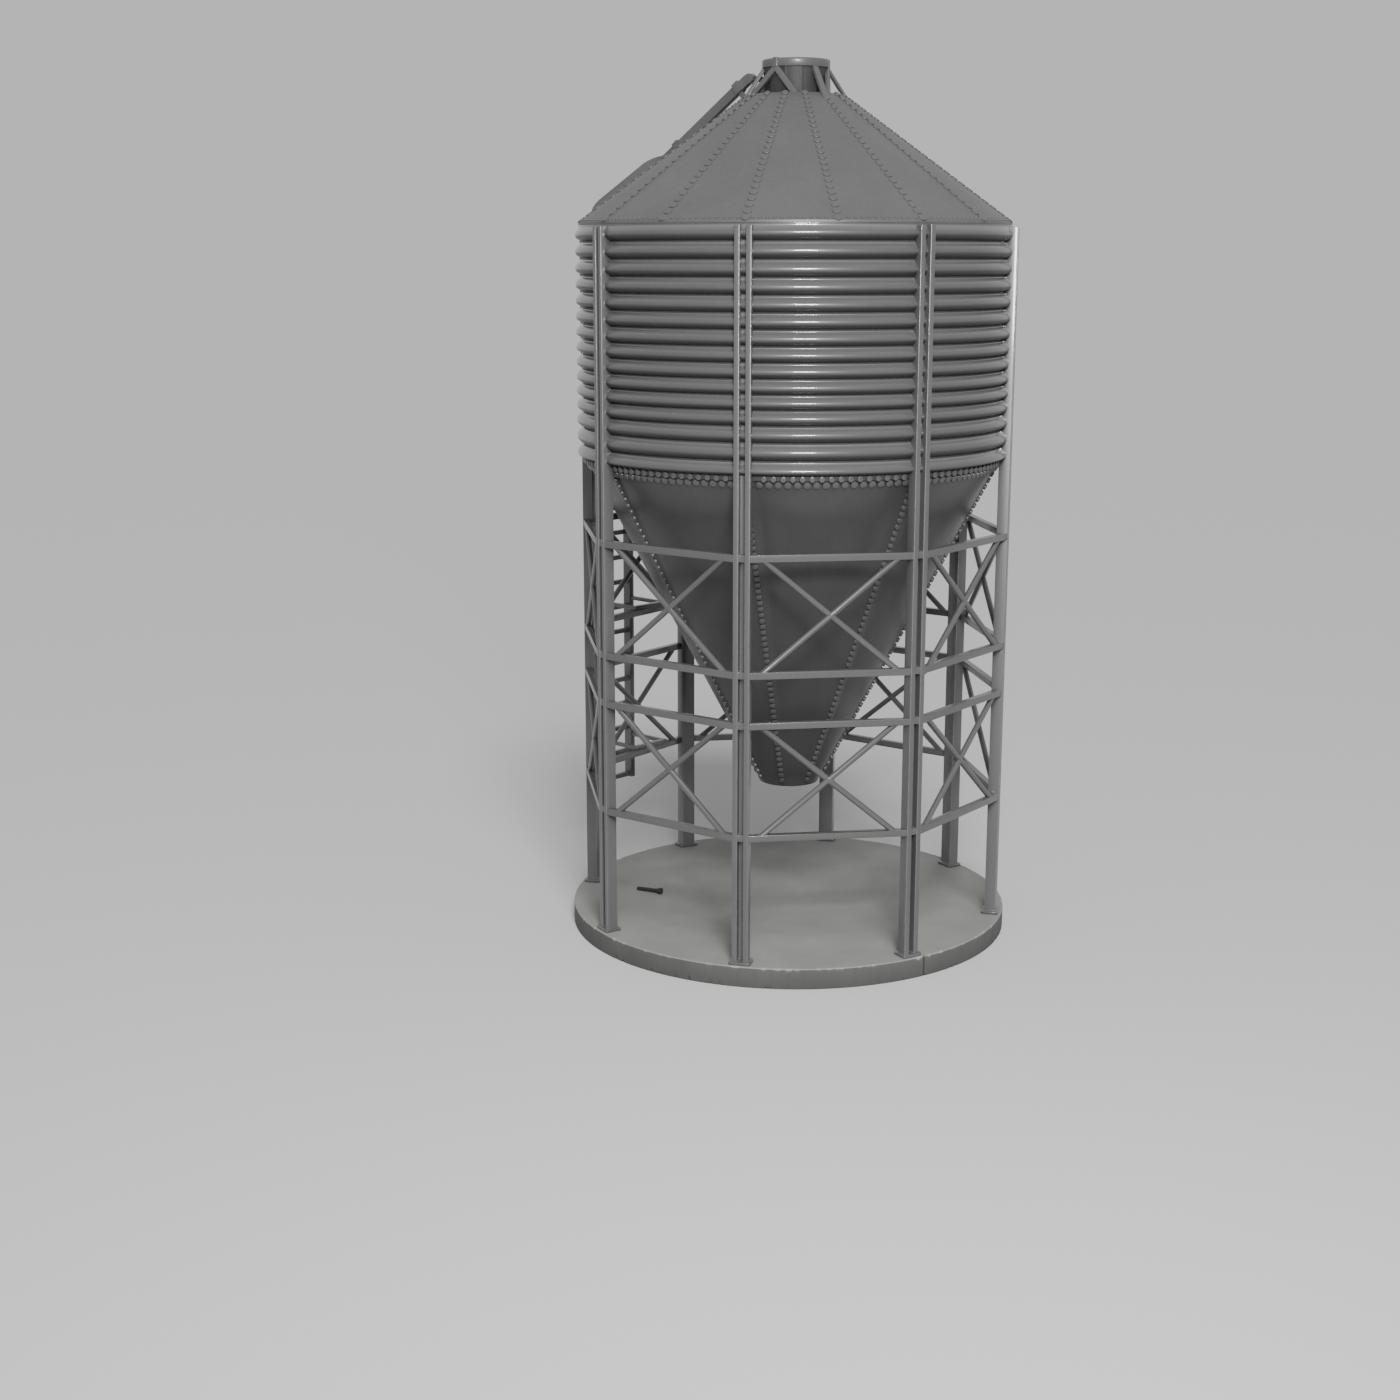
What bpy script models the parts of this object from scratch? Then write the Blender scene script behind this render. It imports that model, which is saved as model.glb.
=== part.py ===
"""Grain silo on legs: corrugated round bin, cone roof with a capped neck, cone hopper, braced legs and slab.

Metres, +Z up. The origin is the middle of the slab's underside. Leg 1 stands toward -Y, and the other legs
follow every 45 degrees toward +X. An azimuth is measured from -Y toward +X.
"""
import math

import bmesh
import bpy
from mathutils import Matrix, Vector

# Driving dimensions in metres
SEAT = 0.0003              # gap that a piece keeps to the piece it rests on
BAYS = 8                   # legs, wall panels and braced bays round the silo
ROUND = 64                 # sides of the large round pieces

SLAB_RADIUS = 2.43
SLAB_HEIGHT = 0.22
SLAB_BEVEL = 0.025

LEG_OUTER_RADIUS = 2.368   # outer edges of a leg's two flanges
LEG_WIDTH = 0.171
LEG_DEPTH = 0.120
FLANGE_THICKNESS = 0.054
WEB_THICKNESS = 0.035
LEG_TOP = 7.645
FOOT_WIDTH = 0.236
FOOT_DEPTH = 0.190
FOOT_THICKNESS = 0.030
FOOT_CORNER = 0.030

RING_HEIGHTS = (4.436, 3.257, 2.738, 1.567)   # middle heights of the ring beams, from the top
BEAM_SIZE = 0.070
BRACE_RADIUS = 0.0315
BRACE_INSET = 0.14         # from a leg's side to the foot of a brace

WALL_INNER_RADIUS = 2.215
WALL_VALLEY_RADIUS = 2.248
WALL_CREST_RADIUS = 2.326
WALL_BOTTOM = 5.245
WALL_TOP = 7.645
FIRST_CREST = 0.072        # from the wall's top down to its first crest
PITCH_TOP = 0.1745         # between the crests at the top of the wall
PITCH_LOW = 0.1475         # the shortest pitch, lower down
PITCH_BOTTOM = 0.183       # the pitch at the bottom
PITCHES_DOWN = 10          # pitches from the first one to the shortest
PITCHES_UP = 3             # pitches from the shortest to the last one
VALLEY_SHARE = 0.45        # share of a pitch from a crest down to the next valley
SHOULDER_SHARE = 0.29      # share of the way from a valley to its crest at which the slope eases
SHOULDER_RISE = 0.62       # share of the corrugation's depth that is reached there
PANEL_STEPS = 6

EAVE_RADIUS = 2.284
EAVE_LAP = 0.006           # by which the eave ring stands out over the top of the wall
EAVE_TOP = 7.690
DRIP_EDGE = 0.030          # height of the roof's vertical edge over the eave ring

ROOF_SLOPE = math.radians(36.0)
ROOF_EDGE_RADIUS = 2.290
ROOF_THICKNESS = 0.040
ROOF_RIM_RADIUS = 0.505    # where the slope ends at a flat ring round the neck
ROOF_SIDES = 64            # four for each of the sixteen roof sheets

NECK_RADIUS = 0.335
NECK_WALL = 0.030
CAP_RADIUS = 0.358
CAP_BOTTOM = 9.258
CAP_TOP = 9.331
CAP_ROUND = 0.018
STAY_WIDTH = 0.064
STAY_THICKNESS = 0.042
STAY_TOP_RADIUS = 0.357    # of a stay's upper end, inside the lid
STAY_TOP_RISE = 0.030      # of that end above the lid's underside
STAYS = (                  # azimuth of the top, azimuth of the foot, radius of the foot
    (-26.0, -59.2, 0.455),
    (-26.0, 10.2, 0.455),
    (47.7, 44.6, 0.554),
    (94.0, 60.8, 0.455),
    (94.0, 108.3, 0.520),
    (167.7, 167.7, 0.535),
    (214.0, 180.8, 0.455),
    (287.7, 294.5, 0.520),
)
PLATE_AZIMUTHS = (-26.0, 94.0, 214.0)   # upright plates on the lid's rim over the slanted stays
PLATE_WIDTH = 0.062
PLATE_DEPTH = 0.046
PLATE_PROUD = 0.026
PLATE_RISE = 0.010         # above the lid
PLATE_DROP = 0.004         # below the lid's underside

HOPPER_TOP_RADIUS = 2.222
HOPPER_OUTLET_RADIUS = 0.323
HOPPER_BOTTOM = 1.593
HOPPER_THICKNESS = 0.040
HOPPER_RING_HEIGHT = 0.050
HOPPER_RING_INNER = 2.160

LADDER_AZIMUTH = 241.4
LADDER_RADIUS = 2.777      # middle of the stringers
STRINGER_DEPTH = 0.110
STRINGER_WIDTH = 0.062
LADDER_HALF_WIDTH = 0.240  # from the middle of the ladder to the middle of a stringer
LADDER_BOTTOM = 1.085
RUNG_FIRST = 1.120
RUNG_PITCH = 0.300
RUNG_COUNT = 23
RUNG_SIZE = 0.052
RUNG_DROP = 0.062          # from a slanted stringer's upper edge to the middle of a rung
LADDER_TOP = 7.750
RAIL_DEPTH = 0.102         # of the stringers over the eave and the roof
ARCH_STRAIGHT = 0.030      # upright start of the arch over the eave
ARCH_LOW_BEND = 7.890      # height at which the upright edge and the first slope would meet
ARCH_KNEE = (2.690, 7.968)
ARCH_SHOULDER = (1.970, 8.352)
ARCH_HIGH_BEND = (1.830, 8.412)
ARCH_RUNG_RADII = (2.620, 2.175, 1.790)
ARCH_END_RADIUS = 1.680    # where the arch meets the roof ladder
RAIL_START_HEIGHT = 8.422  # upper edge of the roof ladder's stringers at that place
RAIL_SLOPE = 0.648         # rise of that edge for each metre inward
ROOF_RUNG_RADII = (1.580, 1.380)
HEAD_START_RADIUS = 0.500  # where the stringers bend over at the top
HEAD_BEND = (0.452, 9.218)
HEAD_CROWN = (0.415, 9.216)
HEAD_NOSE = ((0.385, 9.208), (0.364, 9.186), (0.366, 9.143))
HEAD_RUNG = (0.396, 9.162)
COLLAR_RADII = (1.490, 0.610)
COLLAR_LENGTH = 0.090
COLLAR_THICKNESS = 0.014
COLLAR_UNDERLAP = 0.004    # by which a collar reaches under its stringer
POST_LENGTHWISE = 0.050
POST_SIDEWAYS = 0.040
POST_FOOT_LENGTHWISE = 0.100
POST_FOOT_SIDEWAYS = 0.056
POST_FOOT_THICKNESS = 0.016
ROOF_GAP = 0.001           # under the inner corners of the posts' feet

BRACKET_SIZE = 0.044
BRACKET_BACK = 2.155       # radius of the bracket's inner edge
BRACKET_BAR = 0.070        # depth of the bar that joins the two arms


def clear_scene():
    """Remove every object that the file holds."""
    for old in list(bpy.data.objects):
        bpy.data.objects.remove(old, do_unlink=True)


def make_material(name, color, metallic, roughness):
    """Make a Principled material with one plain colour."""
    material = bpy.data.materials.new(name)
    material.use_nodes = True
    shader = material.node_tree.nodes["Principled BSDF"]
    shader.inputs["Base Color"].default_value = (*color, 1.0)
    shader.inputs["Metallic"].default_value = metallic
    shader.inputs["Roughness"].default_value = roughness
    return material


def add_object(name, mesh, material, azimuth=0.0):
    """Link a mesh as an object turned to an azimuth about the silo's axis."""
    if not mesh.materials:
        mesh.materials.append(material)
    obj = bpy.data.objects.new(name, mesh)
    obj.rotation_euler.z = math.radians(azimuth)
    bpy.context.scene.collection.objects.link(obj)
    return obj


def finish_mesh(name, bm, smooth=False):
    """Turn a closed bmesh into a mesh whose faces point outward."""
    bmesh.ops.remove_doubles(bm, verts=bm.verts, dist=1e-6)
    bmesh.ops.recalc_face_normals(bm, faces=bm.faces)
    if bm.calc_volume(signed=True) < 0:
        bmesh.ops.reverse_faces(bm, faces=bm.faces)
    mesh = bpy.data.meshes.new(name)
    bm.to_mesh(mesh)
    bm.free()
    if smooth:
        mesh.shade_smooth()
        mesh.set_sharp_from_angle(angle=math.radians(35))
    return mesh


def turned_mesh(name, profile, sides):
    """Turn a closed outline of (radius, height) points once round the Z axis."""
    bm = bmesh.new()
    verts = [bm.verts.new((radius, 0.0, height)) for radius, height in profile]
    edges = [bm.edges.new((a, b)) for a, b in zip(verts, verts[1:] + verts[:1])]
    bmesh.ops.spin(bm, geom=verts + edges, cent=(0, 0, 0), axis=(0, 0, 1), angle=math.tau,
                   steps=sides, use_merge=True)
    return finish_mesh(name, bm, smooth=True)


def prism(bm, outline, direction):
    """Extrude a flat outline of 3-D points along a vector and close both ends."""
    start = [bm.verts.new(point) for point in outline]
    face = bm.faces.new(start)
    out = bmesh.ops.extrude_face_region(bm, geom=[face])
    moved = [item for item in out["geom"] if isinstance(item, bmesh.types.BMVert)]
    bmesh.ops.translate(bm, verts=moved, vec=direction)


def prism_mesh(name, outline, direction):
    """Make a mesh of one prism."""
    bm = bmesh.new()
    prism(bm, outline, direction)
    return finish_mesh(name, bm)


def box_mesh(name, low, high):
    """Make a box between two corners."""
    outline = [(low[0], low[1], low[2]), (high[0], low[1], low[2]),
               (high[0], high[1], low[2]), (low[0], high[1], low[2])]
    return prism_mesh(name, outline, Vector((0, 0, high[2] - low[2])))


def bar_mesh(name, start, end, radius, sides=8):
    """Make a straight round or square bar from one point to another."""
    start = Vector(start)
    end = Vector(end)
    bm = bmesh.new()
    bmesh.ops.create_cone(bm, cap_ends=True, segments=sides, radius1=radius, radius2=radius,
                          depth=(end - start).length)
    turn = (end - start).to_track_quat("Z", "X").to_matrix().to_4x4()
    place = Matrix.Translation((start + end) / 2) @ turn @ Matrix.Rotation(math.pi / sides, 4, "Z")
    bmesh.ops.transform(bm, matrix=place, verts=bm.verts)
    return finish_mesh(name, bm)


def fused_mesh(name, meshes, smooth=False):
    """Join several closed meshes into one closed body with Boolean unions."""
    base = bpy.data.objects.new(name, meshes[0])
    bpy.context.scene.collection.objects.link(base)
    tools = []
    for mesh in meshes[1:]:
        tool = bpy.data.objects.new(name + "_tool", mesh)
        bpy.context.scene.collection.objects.link(tool)
        union = base.modifiers.new("union", "BOOLEAN")
        union.operation = "UNION"
        union.solver = "EXACT"
        union.object = tool
        tools.append(tool)
    evaluated = base.evaluated_get(bpy.context.evaluated_depsgraph_get())
    mesh = bpy.data.meshes.new_from_object(evaluated)
    mesh.name = name
    mesh.materials.clear()
    for obj in [base] + tools:
        bpy.data.objects.remove(obj, do_unlink=True)
    if smooth:
        mesh.shade_smooth()
        mesh.set_sharp_from_angle(angle=math.radians(35))
    return mesh


def direction(azimuth):
    """Unit vector on the ground toward an azimuth in degrees."""
    turn = math.radians(azimuth)
    return Vector((math.sin(turn), -math.cos(turn), 0.0))


def in_plane(radius, side, height):
    """Point at a distance out along -Y, a distance sideways along +X, and a height."""
    return Vector((side, -radius, height))


def corrugations():
    """Depths below the wall's top of each corrugation's upper valley and of its crest."""
    pairs = [(0.0, FIRST_CREST)]
    for step in range(PITCHES_DOWN + 1 + PITCHES_UP):
        if step <= PITCHES_DOWN:
            pitch = PITCH_TOP + (PITCH_LOW - PITCH_TOP) * step / PITCHES_DOWN
        else:
            pitch = PITCH_LOW + (PITCH_BOTTOM - PITCH_LOW) * (step - PITCHES_DOWN) / PITCHES_UP
        crest = pairs[-1][1]
        pairs.append((crest + VALLEY_SHARE * pitch, crest + pitch))
    return pairs


def wall_profile():
    """Outer outline of the wall from top to bottom as (radius, height)."""
    points = []
    for valley, crest in corrugations():
        low = WALL_VALLEY_RADIUS if valley else EAVE_RADIUS - EAVE_LAP
        shoulder = valley + SHOULDER_SHARE * (crest - valley)
        points.append((low, WALL_TOP - valley))
        points.append((low + SHOULDER_RISE * (WALL_CREST_RADIUS - low), WALL_TOP - shoulder))
        points.append((WALL_CREST_RADIUS, WALL_TOP - crest))
    points.append((WALL_VALLEY_RADIUS, WALL_BOTTOM))
    return points


def make_slab(material):
    bm = bmesh.new()
    bmesh.ops.create_cone(bm, cap_ends=True, segments=96, radius1=SLAB_RADIUS, radius2=SLAB_RADIUS,
                          depth=SLAB_HEIGHT)
    bmesh.ops.translate(bm, verts=bm.verts, vec=(0, 0, SLAB_HEIGHT / 2))
    rim = [edge for edge in bm.edges if all(v.co.z > SLAB_HEIGHT / 2 for v in edge.verts)]
    bmesh.ops.bevel(bm, geom=rim, offset=SLAB_BEVEL, segments=2, profile=0.5, affect="EDGES")
    add_object("foundation_slab", finish_mesh("foundation_slab", bm, smooth=True), material)


def leg_outline(height):
    """Plan outline of a leg: a channel that opens outward."""
    half = LEG_WIDTH / 2
    groove = half - FLANGE_THICKNESS
    inner = LEG_OUTER_RADIUS - LEG_DEPTH
    floor = inner + WEB_THICKNESS
    outer = LEG_OUTER_RADIUS
    plan = [(inner, -half), (inner, half), (outer, half), (outer, groove),
            (floor, groove), (floor, -groove), (outer, -groove), (outer, -half)]
    return [in_plane(radius, side, height) for radius, side in plan]


def foot_outline(height):
    """Plan outline of a base plate with round corners."""
    middle = LEG_OUTER_RADIUS - LEG_DEPTH / 2
    reach_r = FOOT_DEPTH / 2 - FOOT_CORNER
    reach_s = FOOT_WIDTH / 2 - FOOT_CORNER
    points = []
    for quarter, (sign_s, sign_r) in enumerate(((1, 1), (-1, 1), (-1, -1), (1, -1))):
        for step in range(4):
            turn = math.pi / 2 * (quarter + step / 3)
            side = sign_s * reach_s + FOOT_CORNER * math.cos(turn)
            radius = middle + sign_r * reach_r + FOOT_CORNER * math.sin(turn)
            points.append(in_plane(radius, side, height))
    return points


def make_legs(material):
    base = SLAB_HEIGHT + SEAT
    column_base = base + FOOT_THICKNESS / 2
    parts = [prism_mesh("column", leg_outline(column_base), Vector((0, 0, LEG_TOP - column_base))),
             prism_mesh("foot", foot_outline(base), Vector((0, 0, FOOT_THICKNESS)))]
    groove = LEG_WIDTH / 2 - FLANGE_THICKNESS
    floor = LEG_OUTER_RADIUS - LEG_DEPTH + WEB_THICKNESS
    for height in RING_HEIGHTS:
        low = (-groove - 0.01, -(LEG_OUTER_RADIUS - 0.012), height - BEAM_SIZE / 2)
        high = (groove + 0.01, -(floor - 0.01), height + BEAM_SIZE / 2)
        parts.append(box_mesh("filler", low, high))
    mesh = fused_mesh("leg", parts)
    for bay in range(BAYS):
        add_object(f"leg_{bay + 1}", mesh, material, bay * 360 / BAYS)


def bay_half_length(radius):
    """Half the free length of a bay between two legs at a distance from the axis."""
    half_bay = math.pi / BAYS
    return radius * math.tan(half_bay) - (LEG_WIDTH / 2 + SEAT) / math.cos(half_bay)


def beam_outer_radius():
    """Distance of the beams' outer faces from the axis, so that their ends are flush with the flanges."""
    half_bay = math.pi / BAYS
    edge = LEG_OUTER_RADIUS - 0.004 + (LEG_WIDTH / 2 + SEAT) * math.tan(half_bay)
    return edge * math.cos(half_bay)


def beam_mesh(height):
    """Ring beam of one bay, with its ends cut along the legs' sides."""
    outer = beam_outer_radius()
    inner = outer - BEAM_SIZE
    base = height - BEAM_SIZE / 2
    outline = [in_plane(inner, -bay_half_length(inner), base), in_plane(inner, bay_half_length(inner), base),
               in_plane(outer, bay_half_length(outer), base), in_plane(outer, -bay_half_length(outer), base)]
    return prism_mesh("beam", outline, Vector((0, 0, BEAM_SIZE)))


def make_frames(material):
    middle = beam_outer_radius() - BEAM_SIZE / 2
    reach = bay_half_length(middle) - BRACE_INSET
    for tier, upper, lower in (("upper", *RING_HEIGHTS[:2]), ("lower", *RING_HEIGHTS[2:])):
        clear = upper - lower - BEAM_SIZE
        sink = BEAM_SIZE / 2
        run = reach * (1 + 2 * sink / clear)
        parts = [beam_mesh(upper), beam_mesh(lower)]
        for side in (-1, 1):
            foot = in_plane(middle, -side * run, lower + BEAM_SIZE / 2 - sink)
            head = in_plane(middle, side * run, upper - BEAM_SIZE / 2 + sink)
            parts.append(bar_mesh("brace", foot, head, BRACE_RADIUS, sides=10))
        mesh = fused_mesh(tier + "_frame", parts, smooth=True)
        for bay in range(BAYS):
            add_object(f"{tier}_frame_{bay + 1}", mesh, material, (bay + 0.5) * 360 / BAYS)


def make_wall(material):
    """Corrugated panels, one between each two legs, with their ends cut along the legs' sides."""
    profile = [(WALL_INNER_RADIUS, WALL_BOTTOM), (WALL_INNER_RADIUS, WALL_TOP)] + wall_profile()
    offset = LEG_WIDTH / 2 + SEAT
    bm = bmesh.new()
    rows = []
    for step in range(PANEL_STEPS + 1):
        share = 2 * step / PANEL_STEPS - 1
        row = []
        for radius, height in profile:
            reach = math.pi / BAYS - math.asin(offset / radius)
            turn = reach * share
            row.append(bm.verts.new(in_plane(radius * math.cos(turn), radius * math.sin(turn), height)))
        rows.append(row)
    count = len(profile)
    for near, far in zip(rows, rows[1:]):
        for i in range(count):
            j = (i + 1) % count
            bm.faces.new((near[i], near[j], far[j], far[i]))
    bm.faces.new(rows[0])
    bm.faces.new(rows[-1])
    mesh = finish_mesh("wall_panel", bm, smooth=True)
    for bay in range(BAYS):
        add_object(f"wall_panel_{bay + 1}", mesh, material, (bay + 0.5) * 360 / BAYS)


def roof_height(radius):
    """Height of the roof's outer surface at a radius."""
    return EAVE_TOP + (ROOF_EDGE_RADIUS - radius) * math.tan(ROOF_SLOPE)


def make_eave(material):
    base = WALL_TOP + SEAT
    top = EAVE_TOP - DRIP_EDGE
    profile = [(WALL_INNER_RADIUS, base), (EAVE_RADIUS, base), (EAVE_RADIUS, top), (WALL_INNER_RADIUS, top)]
    add_object("eave_ring", turned_mesh("eave_ring", profile, ROUND), material)


def make_roof(material):
    base = EAVE_TOP - DRIP_EDGE + SEAT
    drop = ROOF_THICKNESS / math.cos(ROOF_SLOPE)
    inner_foot = ROOF_EDGE_RADIUS - (base + drop - EAVE_TOP) / math.tan(ROOF_SLOPE)
    hole = NECK_RADIUS - NECK_WALL
    rim = roof_height(ROOF_RIM_RADIUS)
    under = rim - ROOF_THICKNESS
    inner_rim = ROOF_EDGE_RADIUS - (under + drop - EAVE_TOP) / math.tan(ROOF_SLOPE)
    profile = [(ROOF_EDGE_RADIUS, base), (ROOF_EDGE_RADIUS, EAVE_TOP), (ROOF_RIM_RADIUS, rim),
               (hole, rim), (hole, under), (inner_rim, under), (inner_foot, base)]
    add_object("roof_cone", turned_mesh("roof_cone", profile, ROOF_SIDES), material)


def make_neck(material):
    low = roof_height(ROOF_RIM_RADIUS) + SEAT
    high = CAP_BOTTOM - SEAT
    inner = NECK_RADIUS - NECK_WALL
    profile = [(NECK_RADIUS, low), (NECK_RADIUS, high), (inner, high), (inner, low)]
    add_object("roof_neck", turned_mesh("roof_neck", profile, 40), material)


def cap_mesh():
    """Closed lid with a rounded upper edge."""
    bm = bmesh.new()
    bmesh.ops.create_cone(bm, cap_ends=True, segments=40, radius1=CAP_RADIUS, radius2=CAP_RADIUS,
                          depth=CAP_TOP - CAP_BOTTOM)
    bmesh.ops.translate(bm, verts=bm.verts, vec=(0, 0, (CAP_TOP + CAP_BOTTOM) / 2))
    rim = [edge for edge in bm.edges if all(v.co.z > CAP_TOP - 0.001 for v in edge.verts)]
    bmesh.ops.bevel(bm, geom=rim, offset=CAP_ROUND, segments=2, profile=0.5, affect="EDGES")
    return finish_mesh("cap", bm, smooth=True)


def stay_mesh(top_azimuth, foot_azimuth, foot_radius):
    """Flat bar from inside the lid down to the roof or its flat rim, with its foot cut along the sheets.

    Its wide sides face outward at the azimuth of its top.
    """
    outward = direction(top_azimuth)
    top = outward * STAY_TOP_RADIUS + Vector((0, 0, CAP_BOTTOM + STAY_TOP_RISE))
    toward_foot = direction(foot_azimuth)
    on_rim = foot_radius < ROOF_RIM_RADIUS
    lean = 0.0 if on_rim else ROOF_SLOPE
    normal = toward_foot * math.sin(lean) + Vector((0, 0, math.cos(lean)))
    surface = roof_height(max(foot_radius, ROOF_RIM_RADIUS))
    foot = toward_foot * foot_radius + Vector((0, 0, surface + 2 * SEAT))
    run = (top - foot).normalized()
    across = run.cross(outward).normalized() * (STAY_WIDTH / 2)
    proud = across.cross(run).normalized() * (STAY_THICKNESS / 2)
    outline = []
    for side, rise in ((-1, -1), (1, -1), (1, 1), (-1, 1)):
        offset = across * side + proud * rise
        outline.append(foot + offset - run * (offset.dot(normal) / run.dot(normal)))
    return prism_mesh("stay", outline, top - foot)


def plate_mesh(azimuth):
    """Upright plate on the lid's rim that covers the heads of slanted stays."""
    outward = direction(azimuth)
    across = Vector((-outward.y, outward.x, 0)) * (PLATE_WIDTH / 2)
    base = Vector((0, 0, CAP_BOTTOM - PLATE_DROP))
    outer = outward * (CAP_RADIUS + PLATE_PROUD)
    inner = outer - outward * PLATE_DEPTH
    outline = [inner - across + base, outer - across + base, outer + across + base, inner + across + base]
    return prism_mesh("plate", outline, Vector((0, 0, CAP_TOP + PLATE_RISE - CAP_BOTTOM + PLATE_DROP)))


def make_cap(material):
    """Lid with its stays and plates fused to the rim; the stays' feet stand on the roof."""
    parts = [cap_mesh()]
    parts += [plate_mesh(azimuth) for azimuth in PLATE_AZIMUTHS]
    parts += [stay_mesh(*stay) for stay in STAYS]
    add_object("cap_with_stays", fused_mesh("cap_with_stays", parts, smooth=True), material)


def make_hopper(material):
    top = WALL_BOTTOM - SEAT
    joint = top - HOPPER_RING_HEIGHT
    ring_outer = LEG_OUTER_RADIUS - LEG_DEPTH - SEAT
    profile = [(ring_outer, joint), (ring_outer, top), (HOPPER_RING_INNER, top), (HOPPER_RING_INNER, joint)]
    add_object("hopper_ring", turned_mesh("hopper_ring", profile, ROUND), material)
    cone_top = joint - SEAT
    slope = (cone_top - HOPPER_BOTTOM) / (HOPPER_TOP_RADIUS - HOPPER_OUTLET_RADIUS)
    inset = HOPPER_THICKNESS * math.hypot(1, slope) / slope
    profile = [(HOPPER_OUTLET_RADIUS, HOPPER_BOTTOM), (HOPPER_TOP_RADIUS, cone_top),
               (HOPPER_TOP_RADIUS - inset, cone_top), (HOPPER_OUTLET_RADIUS - inset, HOPPER_BOTTOM)]
    add_object("hopper_cone", turned_mesh("hopper_cone", profile, ROUND), material)


def strip_outline(path, depth, first_cut, last_cut, nose=()):
    """Outline of a strip of constant depth under a path of (radius, height) points that runs inward.

    first_cut and last_cut are the directions of the strip's two end faces, from its upper edge. The
    points of the nose, if any, lie between the last points of the upper and the lower edge.
    """
    upper = [Vector(point) for point in path]
    runs = [(b - a).normalized() for a, b in zip(upper, upper[1:])]
    cuts = [Vector(first_cut)]
    for before, after in zip(runs, runs[1:]):
        along = (before + after).normalized()
        cuts.append(Vector((-along.y, along.x)))
    cuts.append(Vector(last_cut))
    lower = []
    for point, cut, run in zip(upper, cuts, runs + runs[-1:]):
        square = Vector((-run.y, run.x))
        lower.append(point + cut * depth / cut.dot(square))
    return [tuple(point) for point in upper] + list(nose) + [tuple(point) for point in lower[::-1]]


def stringer_pair(outline):
    """Two flat stringers with the same outline in the ladder's vertical planes."""
    meshes = []
    for side in (-1, 1):
        start = side * LADDER_HALF_WIDTH - STRINGER_WIDTH / 2
        points = [in_plane(radius, start, height) for radius, height in outline]
        meshes.append(prism_mesh("stringer", points, Vector((STRINGER_WIDTH, 0, 0))))
    return meshes


def rung_mesh(radius, height):
    """Bar across the ladder that ends inside both stringers."""
    half = RUNG_SIZE / 2
    low = (-LADDER_HALF_WIDTH, -radius - half, height - half)
    high = (LADDER_HALF_WIDTH, -radius + half, height + half)
    return box_mesh("rung", low, high)


def rail_height(radius):
    """Height of the stringers' upper edge over the roof."""
    return RAIL_START_HEIGHT + (ARCH_END_RADIUS - radius) * RAIL_SLOPE


def quadratic(start, middle, end, steps):
    """Points along a smooth bend that starts toward the middle point and ends coming from it."""
    points = []
    for step in range(steps + 1):
        share = step / steps
        near = start.lerp(middle, share)
        far = middle.lerp(end, share)
        points.append(near.lerp(far, share))
    return points


def arch_path():
    """Upper edge of the arch over the eave: up from the ladder, a bend inward, and a flat end."""
    outer = LADDER_RADIUS + STRINGER_DEPTH / 2
    start = Vector((outer, LADDER_TOP + SEAT))
    low = Vector((outer, LADDER_TOP + ARCH_STRAIGHT))
    end = Vector((ARCH_END_RADIUS, rail_height(ARCH_END_RADIUS)))
    points = [start] + quadratic(low, Vector((outer, ARCH_LOW_BEND)), Vector(ARCH_KNEE), 4)
    return points + quadratic(Vector(ARCH_SHOULDER), Vector(ARCH_HIGH_BEND), end, 4)


def roof_ladder_path():
    """Upper edge of the stringers over the roof, with a head that bends level."""
    start = ARCH_END_RADIUS - SEAT
    points = [Vector((start, rail_height(start)))]
    bend = Vector((HEAD_START_RADIUS, rail_height(HEAD_START_RADIUS)))
    return points + quadratic(bend, Vector(HEAD_BEND), Vector(HEAD_CROWN), 3)


def square_block(radius, side, lengthwise, sideways, low, high):
    """Block between two distances square off the roof, on a line through the stringer's upper edge."""
    off = Vector((math.sin(ROOF_SLOPE), math.cos(ROOF_SLOPE)))
    along = Vector((math.cos(ROOF_SLOPE), -math.sin(ROOF_SLOPE))) * (lengthwise / 2)
    lift = (rail_height(radius) - roof_height(radius)) * math.cos(ROOF_SLOPE)
    on_roof = Vector((radius, rail_height(radius))) - off * lift
    corners = [on_roof + off * low - along, on_roof + off * low + along,
               on_roof + off * high + along, on_roof + off * high - along]
    points = [in_plane(r, side - sideways / 2, z) for r, z in corners]
    return prism_mesh("block", points, Vector((sideways, 0, 0)))


def collar_and_post(radius, side):
    """Collar round a stringer, the post under it, and the post's flat foot on the roof."""
    over = (rail_height(radius) - roof_height(radius)) * math.cos(ROOF_SLOPE) + COLLAR_THICKNESS
    under = over - COLLAR_THICKNESS - RAIL_DEPTH
    collar_width = STRINGER_WIDTH + 2 * COLLAR_THICKNESS
    inner_side = abs(side) - POST_FOOT_SIDEWAYS / 2
    outer_radius = radius + POST_FOOT_LENGTHWISE / 2
    fall = (math.hypot(outer_radius, inner_side) - outer_radius) * math.sin(ROOF_SLOPE)
    foot = ROOF_GAP - fall
    return [
        square_block(radius, side, COLLAR_LENGTH, collar_width, under - COLLAR_UNDERLAP, over),
        square_block(radius, side, POST_LENGTHWISE, POST_SIDEWAYS, foot + POST_FOOT_THICKNESS / 2,
                     under + COLLAR_THICKNESS),
        square_block(radius, side, POST_FOOT_LENGTHWISE, POST_FOOT_SIDEWAYS, foot,
                     foot + POST_FOOT_THICKNESS),
    ]


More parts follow.
